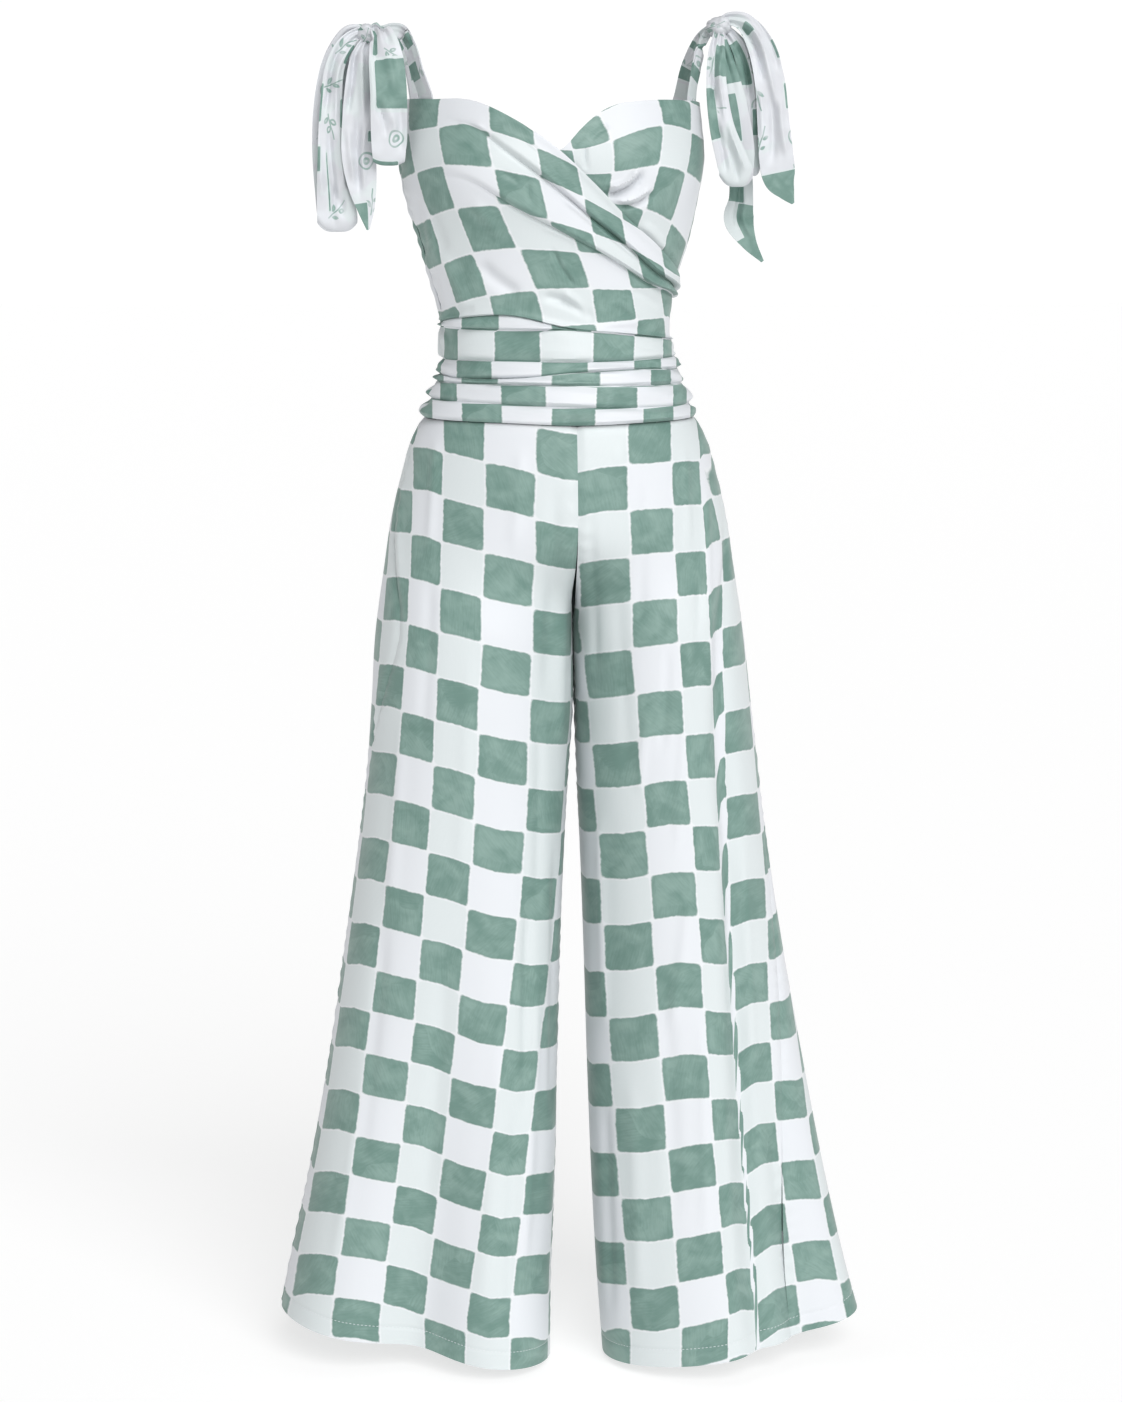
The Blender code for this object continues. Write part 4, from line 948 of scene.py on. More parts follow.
# Bodice
bodice = {
    "wrap": lengths("turn two one edge", [
        (-90, -150, -90, -67), (-60, -149, -92, -69), (-35, -153, -99, -74), (-20, -181, -127, -93),
        (-5, -203, -160, -121), (8, -220, -190, -154), (22, -237, -215, -190), (40, -256, -241, -219),
        (65, -267, -258, -245), (90, -276, -269, -262)]),
    "levels": (0, 0.5, 0.75, 1), "pleatSteps": (0, 0.008, 0.02, 0.04, 0.065, 0.09),
    "belowRows": 78, "pleatRows": 26, "wrapColumns": 210, "underGrid": (80, 120), "backGrid": (90, 100),
    "pleatTurn": (-50, -15, 70, 90), "pleatShare": (0, 1, 1, 0.2), "pleatLift": 0.0074,
    "footLift": 0.003552, "pleatGroove": 0.0024, "grooveReach": 0.0036, "edgeRoll": 0.0026,
    "rollReach": 0.007, "creaseScale": 2.3, "facing": 0.25,
    "underEdge": lengths("turn edge", [
        (-12, -130), (-2, -118), (3, -102), (10, -85), (19, -74), (28, -71), (60, -69), (90, -70)]),
    "underReach": 0.045, "underClear": 0.006, "underStart": -9, "underCreaseScale": 3.2,
    "underFacing": 0.22,
    "backEdge": lengths("turn edge", [(90, -70), (105, -80), (120, -100), (140, -116), (180, -120)]),
    # middles of the check's squares in the photo's pixels, on each stretch of the wrap and on the under cup,
    # and the middle and half size of the place that they lie in
    "place": ((560, 200), (150, 110)),
    "wrapBelow": rows("column row x y", [
        (0, 0, 422, 113), (1, 0, 463, 110), (2, 0, 513, 121), (0, 1, 422, 149), (1, 1, 464, 142),
        (2, 1, 513, 149), (0, 2, 432, 188), (1, 2, 466, 184), (2, 2, 519, 193), (-1, 3, 429, 247),
        (0, 3, 448, 233), (1, 3, 487, 228), (2, 3, 542, 231), (0, 4, 463, 281), (1, 4, 503, 272),
        (2, 4, 554, 268), (3, 4, 603, 268), (4, 4, 650, 274), (0, 5, 474, 319), (1, 5, 517, 311),
        (2, 5, 568, 309), (3, 5, 614, 307), (4, 5, 650, 302), (5, 5, 669, 304), (3, 6, 621, 337),
        (4, 6, 654, 333)]),
    "wrapMiddle": rows("column row x y", [
        (0, 1, 422, 149), (1, 1, 464, 142), (2, 1, 513, 149), (1, 2, 466, 184), (2, 2, 519, 193),
        (3, 2, 571, 210), (3, 3, 579, 249), (4, 3, 622, 259), (5, 3, 656, 274)]),
    "wrapEdge": rows("column row x y", [
        (0, 0, 422, 113), (1, 0, 463, 110), (2, 0, 513, 121), (0, 1, 422, 149), (1, 1, 464, 142),
        (2, 1, 513, 149), (3, 1, 561, 176), (4, 2, 610, 227), (5, 2, 647, 245), (6, 2, 675, 263)]),
    "under": rows("column row x y", [
        (0, 0, 585, 134), (1, 0, 635, 114), (2, 0, 678, 111), (0, 1, 591, 161), (1, 1, 638, 148),
        (2, 1, 679, 145), (3, 1, 699, 157), (1, 2, 634, 188), (2, 2, 667, 194), (3, 2, 689, 204),
        (2, 3, 652, 233), (3, 3, 673, 253)]),
    "wrapCreases": ridges([
        (477, 262, 522, 296, 7, -2, -3), (538, 296, 596, 320, 5, -2.2, 5), (560, 290, 590, 318, 4, 1.8, 2),
        (552, 246, 577, 288, 2.2, -1.3, -3), (529, 176, 530, 206, 2, -0.9, 0), (500, 172, 520, 184, 3, -1, 1),
        (509, 112, 537, 135, 1.8, -1.1, 2), (524, 138, 540, 152, 1.6, -0.8, 0),
        (630, 290, 662, 308, 4, -0.6, 2), (424, 200, 446, 262, 6, -1, 3), (455, 128, 486, 128, 4, 0.9, 3),
        (430, 240, 470, 320, 7, 1.1, 4), (600, 230, 640, 262, 1.8, 0.8, 1), (560, 196, 610, 238, 3, 0.9, 1),
        (440, 316, 476, 306, 4, -1.4, -2), (412, 190, 424, 262, 5, -1.3, 2), (428, 262, 440, 318, 4, -1.1, 2),
        (590, 330, 650, 322, 4, 0.9, 2), (618, 300, 640, 320, 4, 0.8, 1), (540, 226, 600, 252, 3, 0.8, 1),
        (470, 200, 500, 240, 6, 0.8, 3), (500, 318, 548, 326, 3, -1, 2)]),
    "underCreases": ridges([
        (600, 195, 646, 168, 3.4, -2.6, -9), (604, 186, 640, 164, 3, 1.6, -8),
        (616, 207, 656, 190, 2.6, -1.8, -6), (614, 200, 652, 184, 2.4, 1.3, -6),
        (585, 145, 587, 172, 1.4, -0.9, 0), (590, 140, 610, 126, 3, -0.7, 2),
        (640, 222, 668, 252, 4, 0.9, 2)]),
    "backCreases": ridges([
        (-120, 150, -60, 290, 9, -1.2, 6), (-40, 180, -90, 285, 8, 1, -4), (100, 160, 40, 290, 9, -1.1, -5),
        (30, 190, 70, 290, 8, 0.9, 4), (-130, 230, -70, 300, 6, 0.9, 3), (110, 240, 60, 300, 6, 0.9, -3),
        (-30, 140, -20, 230, 7, -0.7, 2), (16, 150, 8, 240, 7, -0.7, -2)]),
}


def squaresBy(table, cubic):
    middle, half = bodice["place"]

    def terms(x, y):
        x, y = (x - middle[0]) / half[0], (y - middle[1]) / half[1]
        found = [1 + 0 * x, x, y, x * x, x * y, y * y]
        return np.stack(found + [x**3, x * x * y, x * y * y, y**3] * cubic, -1)

    known = terms(table["x"], table["y"])
    weights = [np.linalg.lstsq(known, table[name] + 0.5, rcond=None)[0] for name in ("column", "row")]
    return lambda x, y: np.stack([terms(x, y) @ weight for weight in weights], -1)


def carryGrain(uv, seen, points):
    # beyond what the camera sees, columns go on by the cloth's length and rows stay
    arc = alongRows(points)
    return np.stack([carryOut(uv[..., k], seen, arc, slope)
                     for k, slope in enumerate((1 / cloth["columnPitch"], 0))], -1)


def wrapHeight(degrees, level):
    lines = [read(midriff["heights"], "top", degrees, "turn")]
    lines += [read(bodice["wrap"], name, degrees, "turn") for name in ("two", "one", "edge")]
    height = lines[0]
    stops = bodice["levels"]
    for k in range(3):
        share = np.clip((level - stops[k]) / (stops[k + 1] - stops[k]), 0, 1)
        height = height + share * (lines[k + 1] - lines[k])
    return height


def wrapPiece():
    stops = bodice["levels"]
    *near, clear = bodice["pleatSteps"]
    lower = np.linspace(0, 1, bodice["belowRows"], endpoint=False)
    upper = np.concatenate([near, np.linspace(clear, 1, bodice["pleatRows"], endpoint=False)])
    levels = np.concatenate([stops[k] + shares * (stops[k + 1] - stops[k])
                             for k, shares in enumerate((lower, upper, upper))] + [[1.0]])
    level, degrees = np.meshgrid(levels, np.linspace(-90, 90, bodice["wrapColumns"]), indexing="ij")
    height, turn = wrapHeight(degrees, level), np.radians(degrees)
    band = np.clip(np.searchsorted(stops, level, side="right") - 1, 0, 2)
    share = (level - np.take(stops, band)) / (np.take(stops, band + 1) - np.take(stops, band))
    drape = np.interp(degrees, bodice["pleatTurn"], bodice["pleatShare"])
    profile = np.sin(np.minimum(share / 0.15, 1) * math.pi / 2) * (1 - share) ** 1.1
    atFoot = bodice["footLift"] * np.exp(-((share / 0.05) ** 2)) * (share > 0)
    lift = np.where(band == 0, atFoot, bodice["pleatLift"] * drape * profile)
    away = wrapHeight(degrees, np.take(stops, band + 1)) - height
    groove = np.exp(-((away / bodice["grooveReach"]) ** 2)) * (band < 2)
    roll = np.exp(-((away / bodice["rollReach"]) ** 2)) * (band == 2)
    lift = lift - bodice["pleatGroove"] * drape * groove + bodice["edgeRoll"] * drape * roll
    plain, normal = onBody(turn, height)
    x, y = onPhoto(raised(plain, normal, lift))
    lift = lift + creaseLift(x, y, bodice["wrapCreases"], bodice["creaseScale"])
    points = sewn(raised(plain, normal, lift), normal)
    seen = facingCamera(points, normal) > bodice["facing"]
    found = [squaresBy(bodice[name], cubic)(x, y) for name, cubic in
             (("wrapBelow", 1), ("wrapMiddle", 0), ("wrapEdge", 0))]
    own = np.where((band == 0)[..., None], found[0], np.where((band == 1)[..., None], found[1], found[2]))
    mixed = drape[..., None] ** 0.5
    uv = carryGrain(found[0] * (1 - mixed) + own * mixed, seen, points)
    piece = makeSheet("bodiceWrap", points, uv, cloth["wall"], [dressCloth])
    declare(piece, points, "stretched", "bodice_front_wrap", "dress_cloth", 1.10)


def shareGrid(counts, first, last):
    # shares down a piece and turns across it, in degrees
    return np.meshgrid(np.linspace(0, 1, counts[0]), np.linspace(first, last, counts[1]), indexing="ij")


def underPiece():
    share, degrees = shareGrid(bodice["underGrid"], bodice["underStart"], 90)
    edge = read(bodice["underEdge"], "edge", degrees, "turn")
    wrapFoot = read(midriff["heights"], "top", degrees, "turn")
    foot = np.maximum(read(bodice["wrap"], "edge", degrees, "turn") - bodice["underReach"],
                      wrapFoot + bodice["underClear"])
    height, turn = edge + share * (foot - edge), np.radians(degrees)
    plain, normal = onBody(turn, height)
    lift = 0 * turn - cloth["wall"] - cloth["lap"]
    x, y = onPhoto(raised(plain, normal, lift))
    lift = lift + creaseLift(x, y, bodice["underCreases"], bodice["underCreaseScale"])
    points = sewn(raised(plain, normal, lift), normal, degrees > 0)
    seen = facingCamera(points, normal) > bodice["underFacing"]
    uv = carryGrain(squaresBy(bodice["under"], 1)(x, y), seen, points)
    piece = makeSheet("bodiceUnder", points[::-1], uv[::-1], cloth["wall"], [dressCloth])
    declare(piece, points, "stretched", "bodice_front_under", "dress_cloth")


def bodiceBack(name, node, side, shift):
    share, degrees = shareGrid(bodice["backGrid"], 90, 180)
    edge = read(bodice["backEdge"], "edge", degrees, "turn")
    foot = read(midriff["heights"], "top", side * degrees, "turn")
    height, turn = edge + share * (foot - edge), np.radians(side * degrees)
    plain, normal = onBody(turn, height)
    points = sewn(raised(plain, normal, creaseLift(*backView(plain), bodice["backCreases"])), normal)
    column = shift + side * alongRows(points) / cloth["columnPitch"]
    row = (body["rounds"]["height"][0] - height) / cloth["rowPitch"]
    points, uv = points[:, ::side], np.stack([column, row], -1)[:, ::side]
    piece = makeSheet(name, points[::-1], uv[::-1], cloth["wall"], [dressCloth])
    declare(piece, points, "stretched", node, "dress_cloth")


wrapPiece()
underPiece()
bodiceBack("bodiceBackLeft", "bodice_back_left", 1, 3.4)
bodiceBack("bodiceBackRight", "bodice_back_right", -1, -0.6)
print("bodice made")

# Bows
ribbonLook = {"along": 130, "across": 25, "pleats": 2.2, "pleat": 0.0026, "pleatReach": 0.045,
              "foldReach": 0.020, "fullWidth": 0.02, "creaseScale": 2.2, "grainWidth": 0.04,
              "blockFade": 0.06, "blockFadeRows": 3}
knots = {"right": (-0.213, -0.014, -0.002), "left": (0.155, -0.012, 0.009),
         "size": (0.013095, 0.013095, 0.0097), "segments": 72, "rings": 48, "core": 0.92,
         "axis": (0.35, 0.25, 0.9), "turns": 4.6, "turnSlant": 0.8, "turnHeight": 0.13,
         "bandAxis": (0.92, 0.15, -0.38), "bandWidth": 0.36, "bandTurns": 8.5, "bandLift": 0.12,
         "bandHeight": 0.10}


def ribbonLine(values):
    # a ribbon's middle line from its knot, and its width there
    return lengths("across forward up width", values)


# blocks: from and to across the ribbon as shares, top and foot in the photo's pixels, and 1 for green
ribbons = {
    "right": {
        "loop_front": {
            "line": ribbonLine([
                (0, 10, 0, 9), (7, 14, 5, 14), (13, 26, -3, 26), (16, 35, -28, 36), (18, 40, -64, 38),
                (18, 37, -105, 37), (18, 34, -130, 34), (18, 29, -135, 33), (18, 25, -129, 33),
                (19, 25, -104, 34), (19, 25, -64, 34), (18, 23, -30, 30), (12, 16, -8, 18), (5, 8, -2, 10),
                (0, 7, -1, 9)]),
            "grain": (1.1, 0.3), "inside": 0, "rounding": 0.004,
            "blocks": [
                (0.1, 0.27, 20, 55, 1), (0.15, 1.1, 58, 110, 1), (-0.1, 0.14, 58, 110, 0.5),
                (-0.1, 0.8, 161, 172, 1)],
            "creases": ridges([
                (-13, 14, -10, 52, 2.4, -1.8, 0), (-6, 96, 8, 128, 3.5, 2, 3), (-14, 92, -2, 132, 3, -2, 2),
                (10, 92, 12, 150, 4, -1.6, 2), (3, 30, 8, 88, 5, 1.4, -1), (-16, 50, -15, 112, 3, 1.2, 0)])},
        "tail_front": {
            "line": ribbonLine([
                (0, 4.2, -1, 10), (-4, 7, -8, 12), (-8, 13, -20, 20), (-10, 19, -42, 29),
                (-12, 21.5, -80, 34), (-13, 21, -120, 36), (-10, 20, -152, 31), (-6, 19, -180, 18),
                (-4, 18, -201, 3)]),
            "grain": (0.2, 0.3), "inside": 1, "rounding": 0,
            "blocks": [(0.36, 1.1, 64, 92, 0.5), (0.76, 1.1, 130, 142, 1), (-0.1, 0.62, 202, 240, 1)],
            "creases": ridges([
                (-8, 12, -13, 90, 2.6, -2.6, 2), (2, 10, 6, 96, 3.2, 2.2, -2), (9, 16, 11, 80, 2.2, -2, 1),
                (-2, 80, -6, 176, 3.6, -2.2, 3), (8, 92, 2, 168, 3.4, 1.9, -2),
                (-12, 96, -8, 160, 3, 1.6, 1)])},
        "loop_outer": {
            "line": ribbonLine([
                (0, 1.4, 1, 10), (-11, 3, 1, 13), (-26, 8, -12, 18), (-37, 11.5, -36, 20),
                (-41, 12.5, -74, 23), (-42, 13, -118, 27), (-38, 12.5, -160, 38), (-36, 10.5, -192, 42),
                (-36, 5, -203, 42), (-37, 0.5, -193, 40), (-41, -3, -170, 34), (-46, -4, -122, 30),
                (-46, -4, -74, 26), (-40, -4, -30, 20), (-25, -3, -1, 16), (-11, -1.8, 5, 12),
                (0, -1.4, 3, 9)]),
            "grain": (3.1, 5.2), "inside": 0, "rounding": 0.011,
            "blocks": [
                (0.84, 1.1, 40, 62, 1), (-0.1, 0.1, 84, 122, 1), (0.9, 1.1, 96, 128, 1),
                (-0.1, 0.12, 146, 170, 1), (0.3, 0.37, 152, 212, 1)],
            "creases": ridges([
                (-3, 20, -6, 110, 2.4, -2.4, 2), (5, 24, 6, 120, 2.6, 1.8, -1),
                (-2, 112, -5, 226, 3.2, -2.6, 3), (8, 110, 10, 200, 3.4, 1.8, 2),
                (-14, 170, 6, 206, 3.4, -1.9, 4), (16, 168, 6, 214, 3.2, -1.9, -3),
                (-12, 120, -15, 196, 3, 1.6, 1), (14, 130, 15, 190, 3, -1.4, 1)])},
        "tail_back": {
            "line": ribbonLine([
                (0, -4.2, -1, 9), (-9, -6, -10, 10), (-20, -11, -30, 20), (-27, -14, -66, 27),
                (-29, -15, -116, 28), (-28, -15, -160, 24), (-26, -15, -185, 8)]),
            "grain": (7.4, 2.2), "inside": 1, "rounding": 0,
            "blocks": [(0.5, 1.1, 60, 96, 1), (-0.1, 0.5, 140, 170, 0.5)],
            "creases": ridges([(-4, 20, -5, 120, 3, -2, 2), (6, 40, 5, 150, 3, 1.6, -2)])},
    },
    "left": {
        "loop_front": {
            "line": ribbonLine([
                (0, 10, -1, 10), (-2, 13, -12, 13), (-5, 22, -32, 19), (-6, 31, -65, 22), (-1, 37, -105, 26),
                (10, 37, -140, 33), (15, 34, -160, 36), (16, 27, -167, 36), (17, 22, -158, 36),
                (20, 20, -126, 32), (16, 21, -88, 26), (9, 17, -50, 20), (4, 10, -22, 13), (1, 7.4, -9, 10),
                (0, 7, -2, 9)]),
            "grain": (12.3, 4.0), "inside": 0, "rounding": 0.012,
            "blocks": [(0.42, 1.1, 44, 78, 1), (-0.1, 0.4, 86, 138, 1)],
            "innerBlocks": [(-0.1, 1.1, 40, 84, 1), (-0.1, 0.62, 92, 142, 1), (0.5, 1.1, 150, 176, 0.5)],
            "creases": ridges([
                (-3, 12, -5, 90, 2.4, -2.4, 2), (4, 20, 5, 110, 2.4, 1.8, -1), (-4, 96, -10, 160, 3, -2.2, 2),
                (8, 104, 12, 164, 3, 2, -2), (0, 120, 2, 172, 3, -1.8, 1)])},
        "tail_front": {
            "line": ribbonLine([
                (0, 4.2, 3, 10), (12, 6, 8, 14), (28, 11, 2, 21), (43, 16, -22, 28), (52, 19, -56, 32),
                (56, 20, -96, 34), (60, 20, -136, 37), (64, 19, -158, 34), (72, 18, -173, 18),
                (79, 17.5, -184, 3)]),
            "grain": (16.2, 8.0), "inside": 1, "rounding": 0,
            "blocks": [
                (-0.1, 1.1, 172, 215, 1), (0.93, 1.1, 44, 62, 1), (0.92, 1.1, 84, 110, 1),
                (0.2, 0.62, 22, 32, 1)],
            "creases": ridges([
                (-5, 16, -9, 100, 2.8, -2.8, 3), (3, 14, 4, 130, 3.4, 2, -3), (9, 24, 11, 90, 2.6, -1.6, 1),
                (-2, 100, -6, 186, 4, -2.2, 4), (9, 110, 12, 182, 3.6, 1.6, -2),
                (-12, 100, -14, 160, 3, 1.6, 1)])},
        "loop_outer": {
            "line": ribbonLine([
                (0, 1.4, 0, 10), (9, 2, -5, 12), (22, 6, -22, 18), (31, 9, -50, 22), (35, 10, -90, 22),
                (36, 9.5, -128, 20), (36, 7, -150, 18), (35, 3, -155, 18), (34, -1, -149, 18),
                (31, -3, -120, 22), (28, -3.5, -80, 22), (20, -3, -40, 18), (9, -1.8, -12, 11),
                (0, -1.4, -2, 9)]),
            "grain": (20.2, 1.1), "inside": 1, "rounding": 0.006,
            "blocks": [(-0.1, 0.62, 40, 86, 1), (0.5, 1.1, 108, 136, 1), (0.2, 1.1, 140, 168, 0.5)],
            "creases": ridges([
                (-2, 16, -3, 90, 2.4, -2.6, 2), (5, 20, 4, 120, 2.4, 2, -1),
                (-4, 84, -3, 156, 2.6, 1.8, 1)])},
        "tail_back": {
            "line": ribbonLine([
                (0, -4.2, -2, 9), (4, -6, -16, 11), (10, -11, -50, 20), (20, -13, -100, 24),
                (27, -13, -150, 25), (28, -13, -178, 26), (26, -13, -201, 32), (37, -13, -225, 17),
                (52, -13, -245, 3)]),
            "grain": (24.5, 1.3), "inside": 0, "rounding": 0,
            "blocks": [
                (-0.1, 0.62, 180, 203, 1), (0.62, 1.1, 180, 203, 0.5), (-0.1, 0.4, 203, 236, 0.5),
                (0.42, 1.1, 203, 275, 1), (-0.1, 0.5, 236, 275, 1)],
            "creases": ridges([(-3, 150, -4, 214, 3, -1.8, 2), (5, 170, 6, 230, 3, 1.6, -1)])},
    },
}
straps = {
    "turn": {"front": 66, "back": 118}, "width": 0.021, "drop": 0.024, "rise": 0.003, "lean": 7,
    "room": 0.0015, "along": 70, "pleat": 0.0012, "grain": {"front": (30.4, 0.2), "back": (30.4, 2.7)},
    "creases": ridges([(-2, 4, -3, 60, 2, -0.9, 1), (3, 10, 4, 70, 2, 0.7, 1)]),
    "right": {
        "front": ribbonLine([
            (0, -7.2, 0, 8), (16, -7.8, 6, 10), (31, -6, 6, 14), (41, 6, -9, 16), (49, 19, -37, 19)]),
        "blocks": [
            (0.1, 0.8, 36, 49, 1), (0.35, 1.1, 61, 80, 1), (0.3, 1.1, 82, 94, 0.5), (-0.1, 0.4, 50, 60, 0.5)],
        "back": ribbonLine([
            (0, -10.2, 1, 8), (14, -15, 4, 9), (31, -30, 0, 13), (44, -50, -28, 16), (51, -58, -66, 18)]),
    },
    "left": {
        "front": ribbonLine([
            (0, -7.2, 0, 8), (-10, -7.8, -6, 9), (-18, -4, -20, 13), (-24, 8, -38, 15), (-29, 20, -55, 18)]),
        "blocks": [
            (-0.1, 1.1, 30, 37, 0.5), (-0.1, 1.1, 43, 51, 1), (-0.1, 1.1, 67, 81, 1),
            (-0.1, 1.1, 83, 98, 0.5)],
        "back": ribbonLine([
            (0, -10.2, 1, 8), (-9, -17, -2, 9), (-18, -32, -14, 13), (-27, -48, -40, 16),
            (-33, -56, -72, 18)]),
    },
}


def ribbonFace(middle, widths, across, look, pleatDepth):
    # a ribbon gathered into pleats near its knot, with its own creases, and rounded where a loop turns
    tangent = unit(np.gradient(middle, axis=0))
    across = unit(across)
    normal = unit(np.cross(tangent, across))
    share = np.linspace(-0.5, 0.5, ribbonLook["across"])[None, :]
    run = np.concatenate([[0], np.cumsum(np.linalg.norm(np.diff(middle, axis=0), axis=1))])
    looped = np.linalg.norm(middle[0] - middle[-1]) < ribbonLook["fullWidth"]
    ends = np.minimum(run, run[-1] - run) if looped else run
    gather = np.exp(-((ends / ribbonLook["pleatReach"]) ** 2))[:, None]
    wave = np.cos(2 * math.pi * ribbonLook["pleats"] * (share + 0.08 * np.sin(run * 60)[:, None]))
    full = np.minimum(widths[:, None] / ribbonLook["fullWidth"], 1)
    aside = share * widths[:, None]
    crease = full * creaseLift(aside * millimetres, run[:, None] * millimetres + 0 * share,
                               look["creases"], ribbonLook["creaseScale"])
    pleat = pleatDepth * gather * full * wave * (1 - (2 * share) ** 4)
    face = middle[:, None] + aside[..., None] * across[:, None]
    face = raised(face, normal[:, None], crease + pleat)
    if looped:
        foot = run - run[middle[:, 2].argmin()]
        turning = np.exp(-((foot / ribbonLook["foldReach"]) ** 2))[:, None]
        face[..., 2] += look["rounding"] * np.abs(2 * share) ** 3 * turning
    return face, run, share, looped


def straightAcross(middle):
    tangent = unit(np.gradient(middle, axis=0))
    across = np.cross(tangent, (0, 1, 0))
    across[:, 1] = 0
    across[np.abs(tangent[:, 1]) > 0.8] = (1, 0, 0)
    for k in range(1, len(across)):
        if across[k] @ across[k - 1] < 0:
            across[k] = -across[k]
    return across if across[:len(across) // 2, 0].mean() > 0 else -across


def paintedBlocks(middle, share, blocks):
    # how green each point of a ribbon is
    y = onPhoto(middle)[1]
    left = share.ravel() + 0.5
    value = np.zeros((len(middle), left.size))
    for start, end, top, foot, tone in blocks:
        sides = [(left - start) / ribbonLook["blockFade"], (end - left) / ribbonLook["blockFade"]]
        levels = [(y - top) / ribbonLook["blockFadeRows"], (foot - y) / ribbonLook["blockFadeRows"]]
        across, down = (np.clip(a + 0.5, 0, 1) * np.clip(b + 0.5, 0, 1) for a, b in (sides, levels))
        value = np.maximum(value, tone * down[:, None] * across[None])
    return value


def tiePiece(name, node, middle, widths, across, look, pleatDepth):
    face, run, share, looped = ribbonFace(middle, widths, across, look, pleatDepth)
    column, row = look["grain"]
    grain = np.stack([column + share * widths[:, None] / ribbonLook["grainWidth"],
                      row + run[:, None] / cloth["rowPitch"] + 0 * share], -1)
    paint = paintedBlocks(middle, share, look["blocks"])
    if looped:
        turn = middle[:, 2].argmin() + 2
        paint[turn:] = paintedBlocks(middle, share, look.get("innerBlocks", []))[turn:]
    front = slice(0, len(middle) * 2 // 5)
    outwards = np.cross(np.gradient(face[front], axis=1), np.gradient(face[front], axis=0))
    if outwards[..., 1].mean() > 0:
        face, grain, paint = face[:, ::-1], grain[:, ::-1], paint[:, ::-1]
    piece = makeSheet(name, face, grain, cloth["doubled"], [tiePrint, tieGreen], look["inside"], paint)
    declare(piece, face, "folded", node, "tie_cloth", 1.1, 4)


def lineFromKnot(knot, table, count):
    across, forward, up = (smoothLine(table[name], count) for name in ("across", "forward", "up"))
    return knot + np.stack([across, -forward, up], 1)


def strapPiece(wearerSide, side, place, knot):
    turn = straps["turn"][place]
    edges = bodice["underEdge"] if place == "front" else bodice["backEdge"]
    highest = read(edges, "edge", turn + np.array([-straps["lean"], 0, straps["lean"]]), "turn").max()
    heights = highest + np.array([straps["rise"], -0.4 * straps["drop"], -straps["drop"]])
    turns = np.radians(side * turn) + 0 * heights
    walls = 2 * cloth["wall"] + cloth["lap"] if (place, side) == ("front", 1) else cloth["wall"]
    sunk = walls + straps["room"] + cloth["doubled"] / 2
    plain, normal = onBody(turns, heights)
    foot = plain - normal * sunk
    table = straps[wearerSide][place]
    line = np.concatenate([lineFromKnot(knot, table, len(table["up"])), foot])
    widths = np.concatenate([table["width"], [straps["width"]] * len(foot)])
    count = straps["along"]
    middle = np.stack([smoothLine(line[:, k], count) for k in range(3)], 1)
    roundBody = np.cross(normal[:1], (0, 0, 1.0))
    lying = np.clip(np.linspace(0, 1.5, count), 0, 1)[:, None]
    across = roundBody * lying + np.array([0, 0, -side]) * (1 - lying)
    tangent = unit(np.gradient(middle, axis=0))
    across = across - tangent * (across * tangent).sum(1, keepdims=True)
    look = {"grain": straps["grain"][place], "inside": 0, "blocks": straps[wearerSide]["blocks"],
            "creases": straps["creases"]}
    name = "strap" + place.capitalize() + wearerSide.capitalize()
    tiePiece(name, f"strap_{place}_{wearerSide}", middle, smoothLine(widths, count), across, look,
             straps["pleat"])


def knotPiece(wearerSide, side, knot):
    # a wound knot: a ball whose skin is raised into the turns of two crossing bands
    piece = newBall("knot" + wearerSide.capitalize(), segments=knots["segments"],
                    ring_count=knots["rings"], radius=1)
    count = len(piece.data.vertices)
    ball = np.empty(count * 3)
    piece.data.vertices.foreach_get("co", ball)
    ball = ball.reshape(-1, 3)
    along = ball @ unit(np.array(knots["axis"]) * (side, 1, 1))
    turns = np.cos(knots["turns"] * along + knots["turnSlant"] * ball[:, 0])
    turns = knots["core"] + knots["turnHeight"] * np.abs(turns) ** 0.5
    band = ball @ unit(np.array(knots["bandAxis"]) * (1, 1, side))
    over = np.exp(-((band / knots["bandWidth"]) ** 4))
    swell = np.abs(np.cos(knots["bandTurns"] * band)) ** 0.5
    turns = turns + over * (knots["bandLift"] + knots["bandHeight"] * swell)
    shaped = ball * turns[:, None] * np.array(knots["size"]) + knot
    piece.data.vertices.foreach_set("co", shaped.ravel())
    layer = piece.data.uv_layers[0]
    layer.name = "clothGrain"
    loops = np.array([loop.vertex_index for loop in piece.data.loops])
    grain = np.stack([0.5 + 0.35 * along, 0.62 + 0.5 * band], -1)[loops]
    layer.data.foreach_set("uv", grain.ravel())
    green = np.clip((ball[:, 2] - 0.35) / 0.1, 0, 1) * (side < 0) * (1 - over)
    piece.data.attributes.new("block", "FLOAT", "POINT").data.foreach_set("value", green)
    piece.data.materials.append(tiePrint)
    bpy.ops.object.shade_smooth()
    settle(piece, "knot_" + wearerSide)


for wearerSide, side in (("right", -1), ("left", 1)):
    knot = np.array(knots[wearerSide])
    knotPiece(wearerSide, side, knot)
    for name, look in ribbons[wearerSide].items():
        count = ribbonLook["along"]
        middle = lineFromKnot(knot, look["line"], count)
        widths = smoothLine(look["line"]["width"], count)
        words = name.split("_")
        tiePiece(words[0] + words[1].capitalize() + wearerSide.capitalize(), f"{name}_{wearerSide}",
                 middle, widths, straightAcross(middle), look, ribbonLook["pleat"])
    for place in ("front", "back"):
        strapPiece(wearerSide, side, place, knot)
print("bows made")

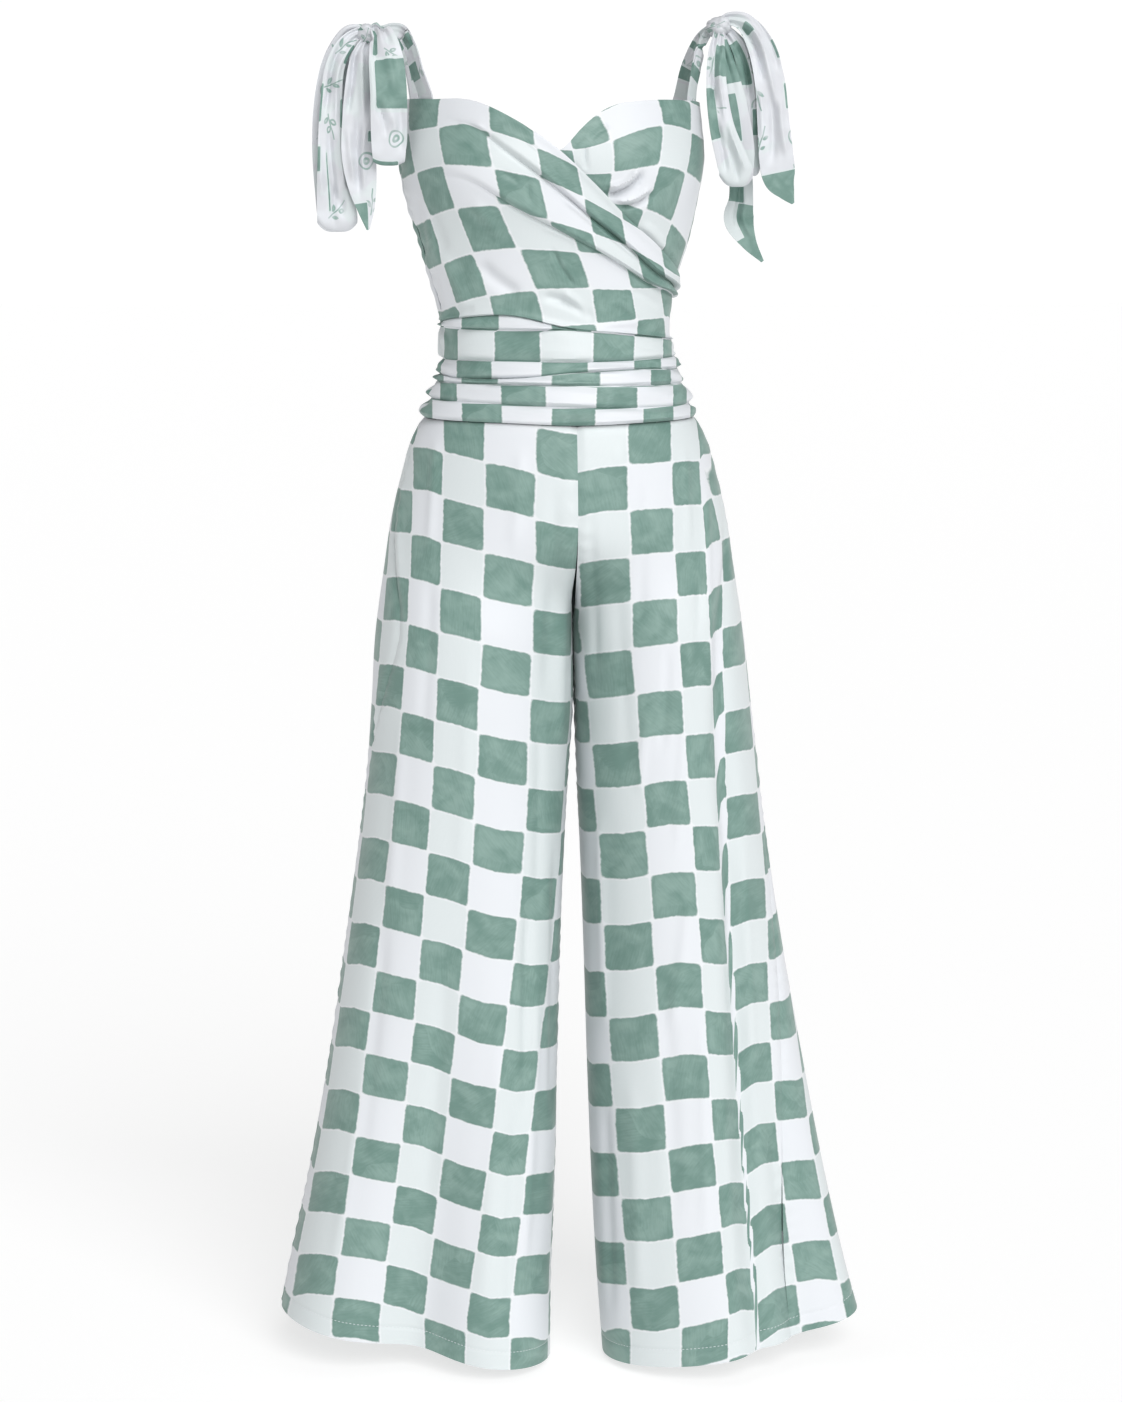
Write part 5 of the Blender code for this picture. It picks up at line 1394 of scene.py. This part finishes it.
# Studio: a glowing white floor that runs out of sight, a white band round the horizon with a dimmer
# room above it, and one broad light from high in front
studio = {"floor": -1.449, "floorSize": 120, "floorColour": (0.36, 0.36, 0.36, 1), "floorGlow": 0.70,
          "horizon": 1.03, "zenith": 0.20, "bandFoot": 0.10, "bandTop": 0.28,
          "sunTurn": (0.20, -0.73, 0.65), "sunPower": 2.6, "sunSpread": math.radians(44)}


def makeStudio():
    bpy.ops.object.select_all(action="DESELECT")
    bpy.ops.mesh.primitive_plane_add(size=studio["floorSize"], location=(0, 0, studio["floor"]))
    floor = bpy.context.object
    floor.name = "floor"
    material, tree = newMaterial("floorPaint")
    shader = tree.nodes["Principled BSDF"]
    setInputs(shader, Base_Color=studio["floorColour"], Roughness=0.9, Emission_Color=(1, 1, 1, 1),
              Emission_Strength=studio["floorGlow"])
    floor.data.materials.append(material)
    world = bpy.data.worlds.new("softRoom")
    world.use_nodes = True
    tree = world.node_tree
    level = maths(tree, "ABSOLUTE", put(tree, "SeparateXYZ", i0=put(tree, "TexCoord")[3])[2])
    glow = ramp(tree, level, studio["bandFoot"], studio["bandTop"], studio["horizon"], studio["zenith"])
    tree.links.new(glow, tree.nodes["Background"].inputs["Strength"])
    tree.nodes["Background"].inputs["Color"].default_value = (1, 1, 1, 1)
    bpy.context.scene.world = world
    bpy.ops.object.light_add(type="SUN", location=(0, -2, 2))
    sun = bpy.context.object
    sun.name = "broadLight"
    sun.data.energy = studio["sunPower"]
    sun.data.angle = studio["sunSpread"]
    sun.rotation_euler = mathutils.Vector(studio["sunTurn"]).to_track_quat("Z", "Y").to_euler()


def makeCamera():
    lens = bpy.data.cameras.new("photoView")
    lens.sensor_fit = "VERTICAL"
    lens.sensor_height = 36
    lens.lens = photo["focal"] / photo["high"] * lens.sensor_height
    camera = bpy.data.objects.new("photoView", lens)
    camera.location = cameraAxes()[0]
    camera.rotation_euler = (math.radians(90 - photo["pitch"]), 0, math.radians(photo["azimuth"]))
    bpy.context.scene.collection.objects.link(camera)
    bpy.context.scene.camera = camera


makeStudio()
makeCamera()
bpy.context.scene.view_settings.view_transform = "Standard"
triangles = {piece.name: sum(len(face.vertices) - 2 for face in piece.data.polygons)
             for piece in bpy.data.objects if piece.type == "MESH" and "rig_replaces" in piece}
print("triangles:", sum(triangles.values()), "most:", max(triangles.values()))
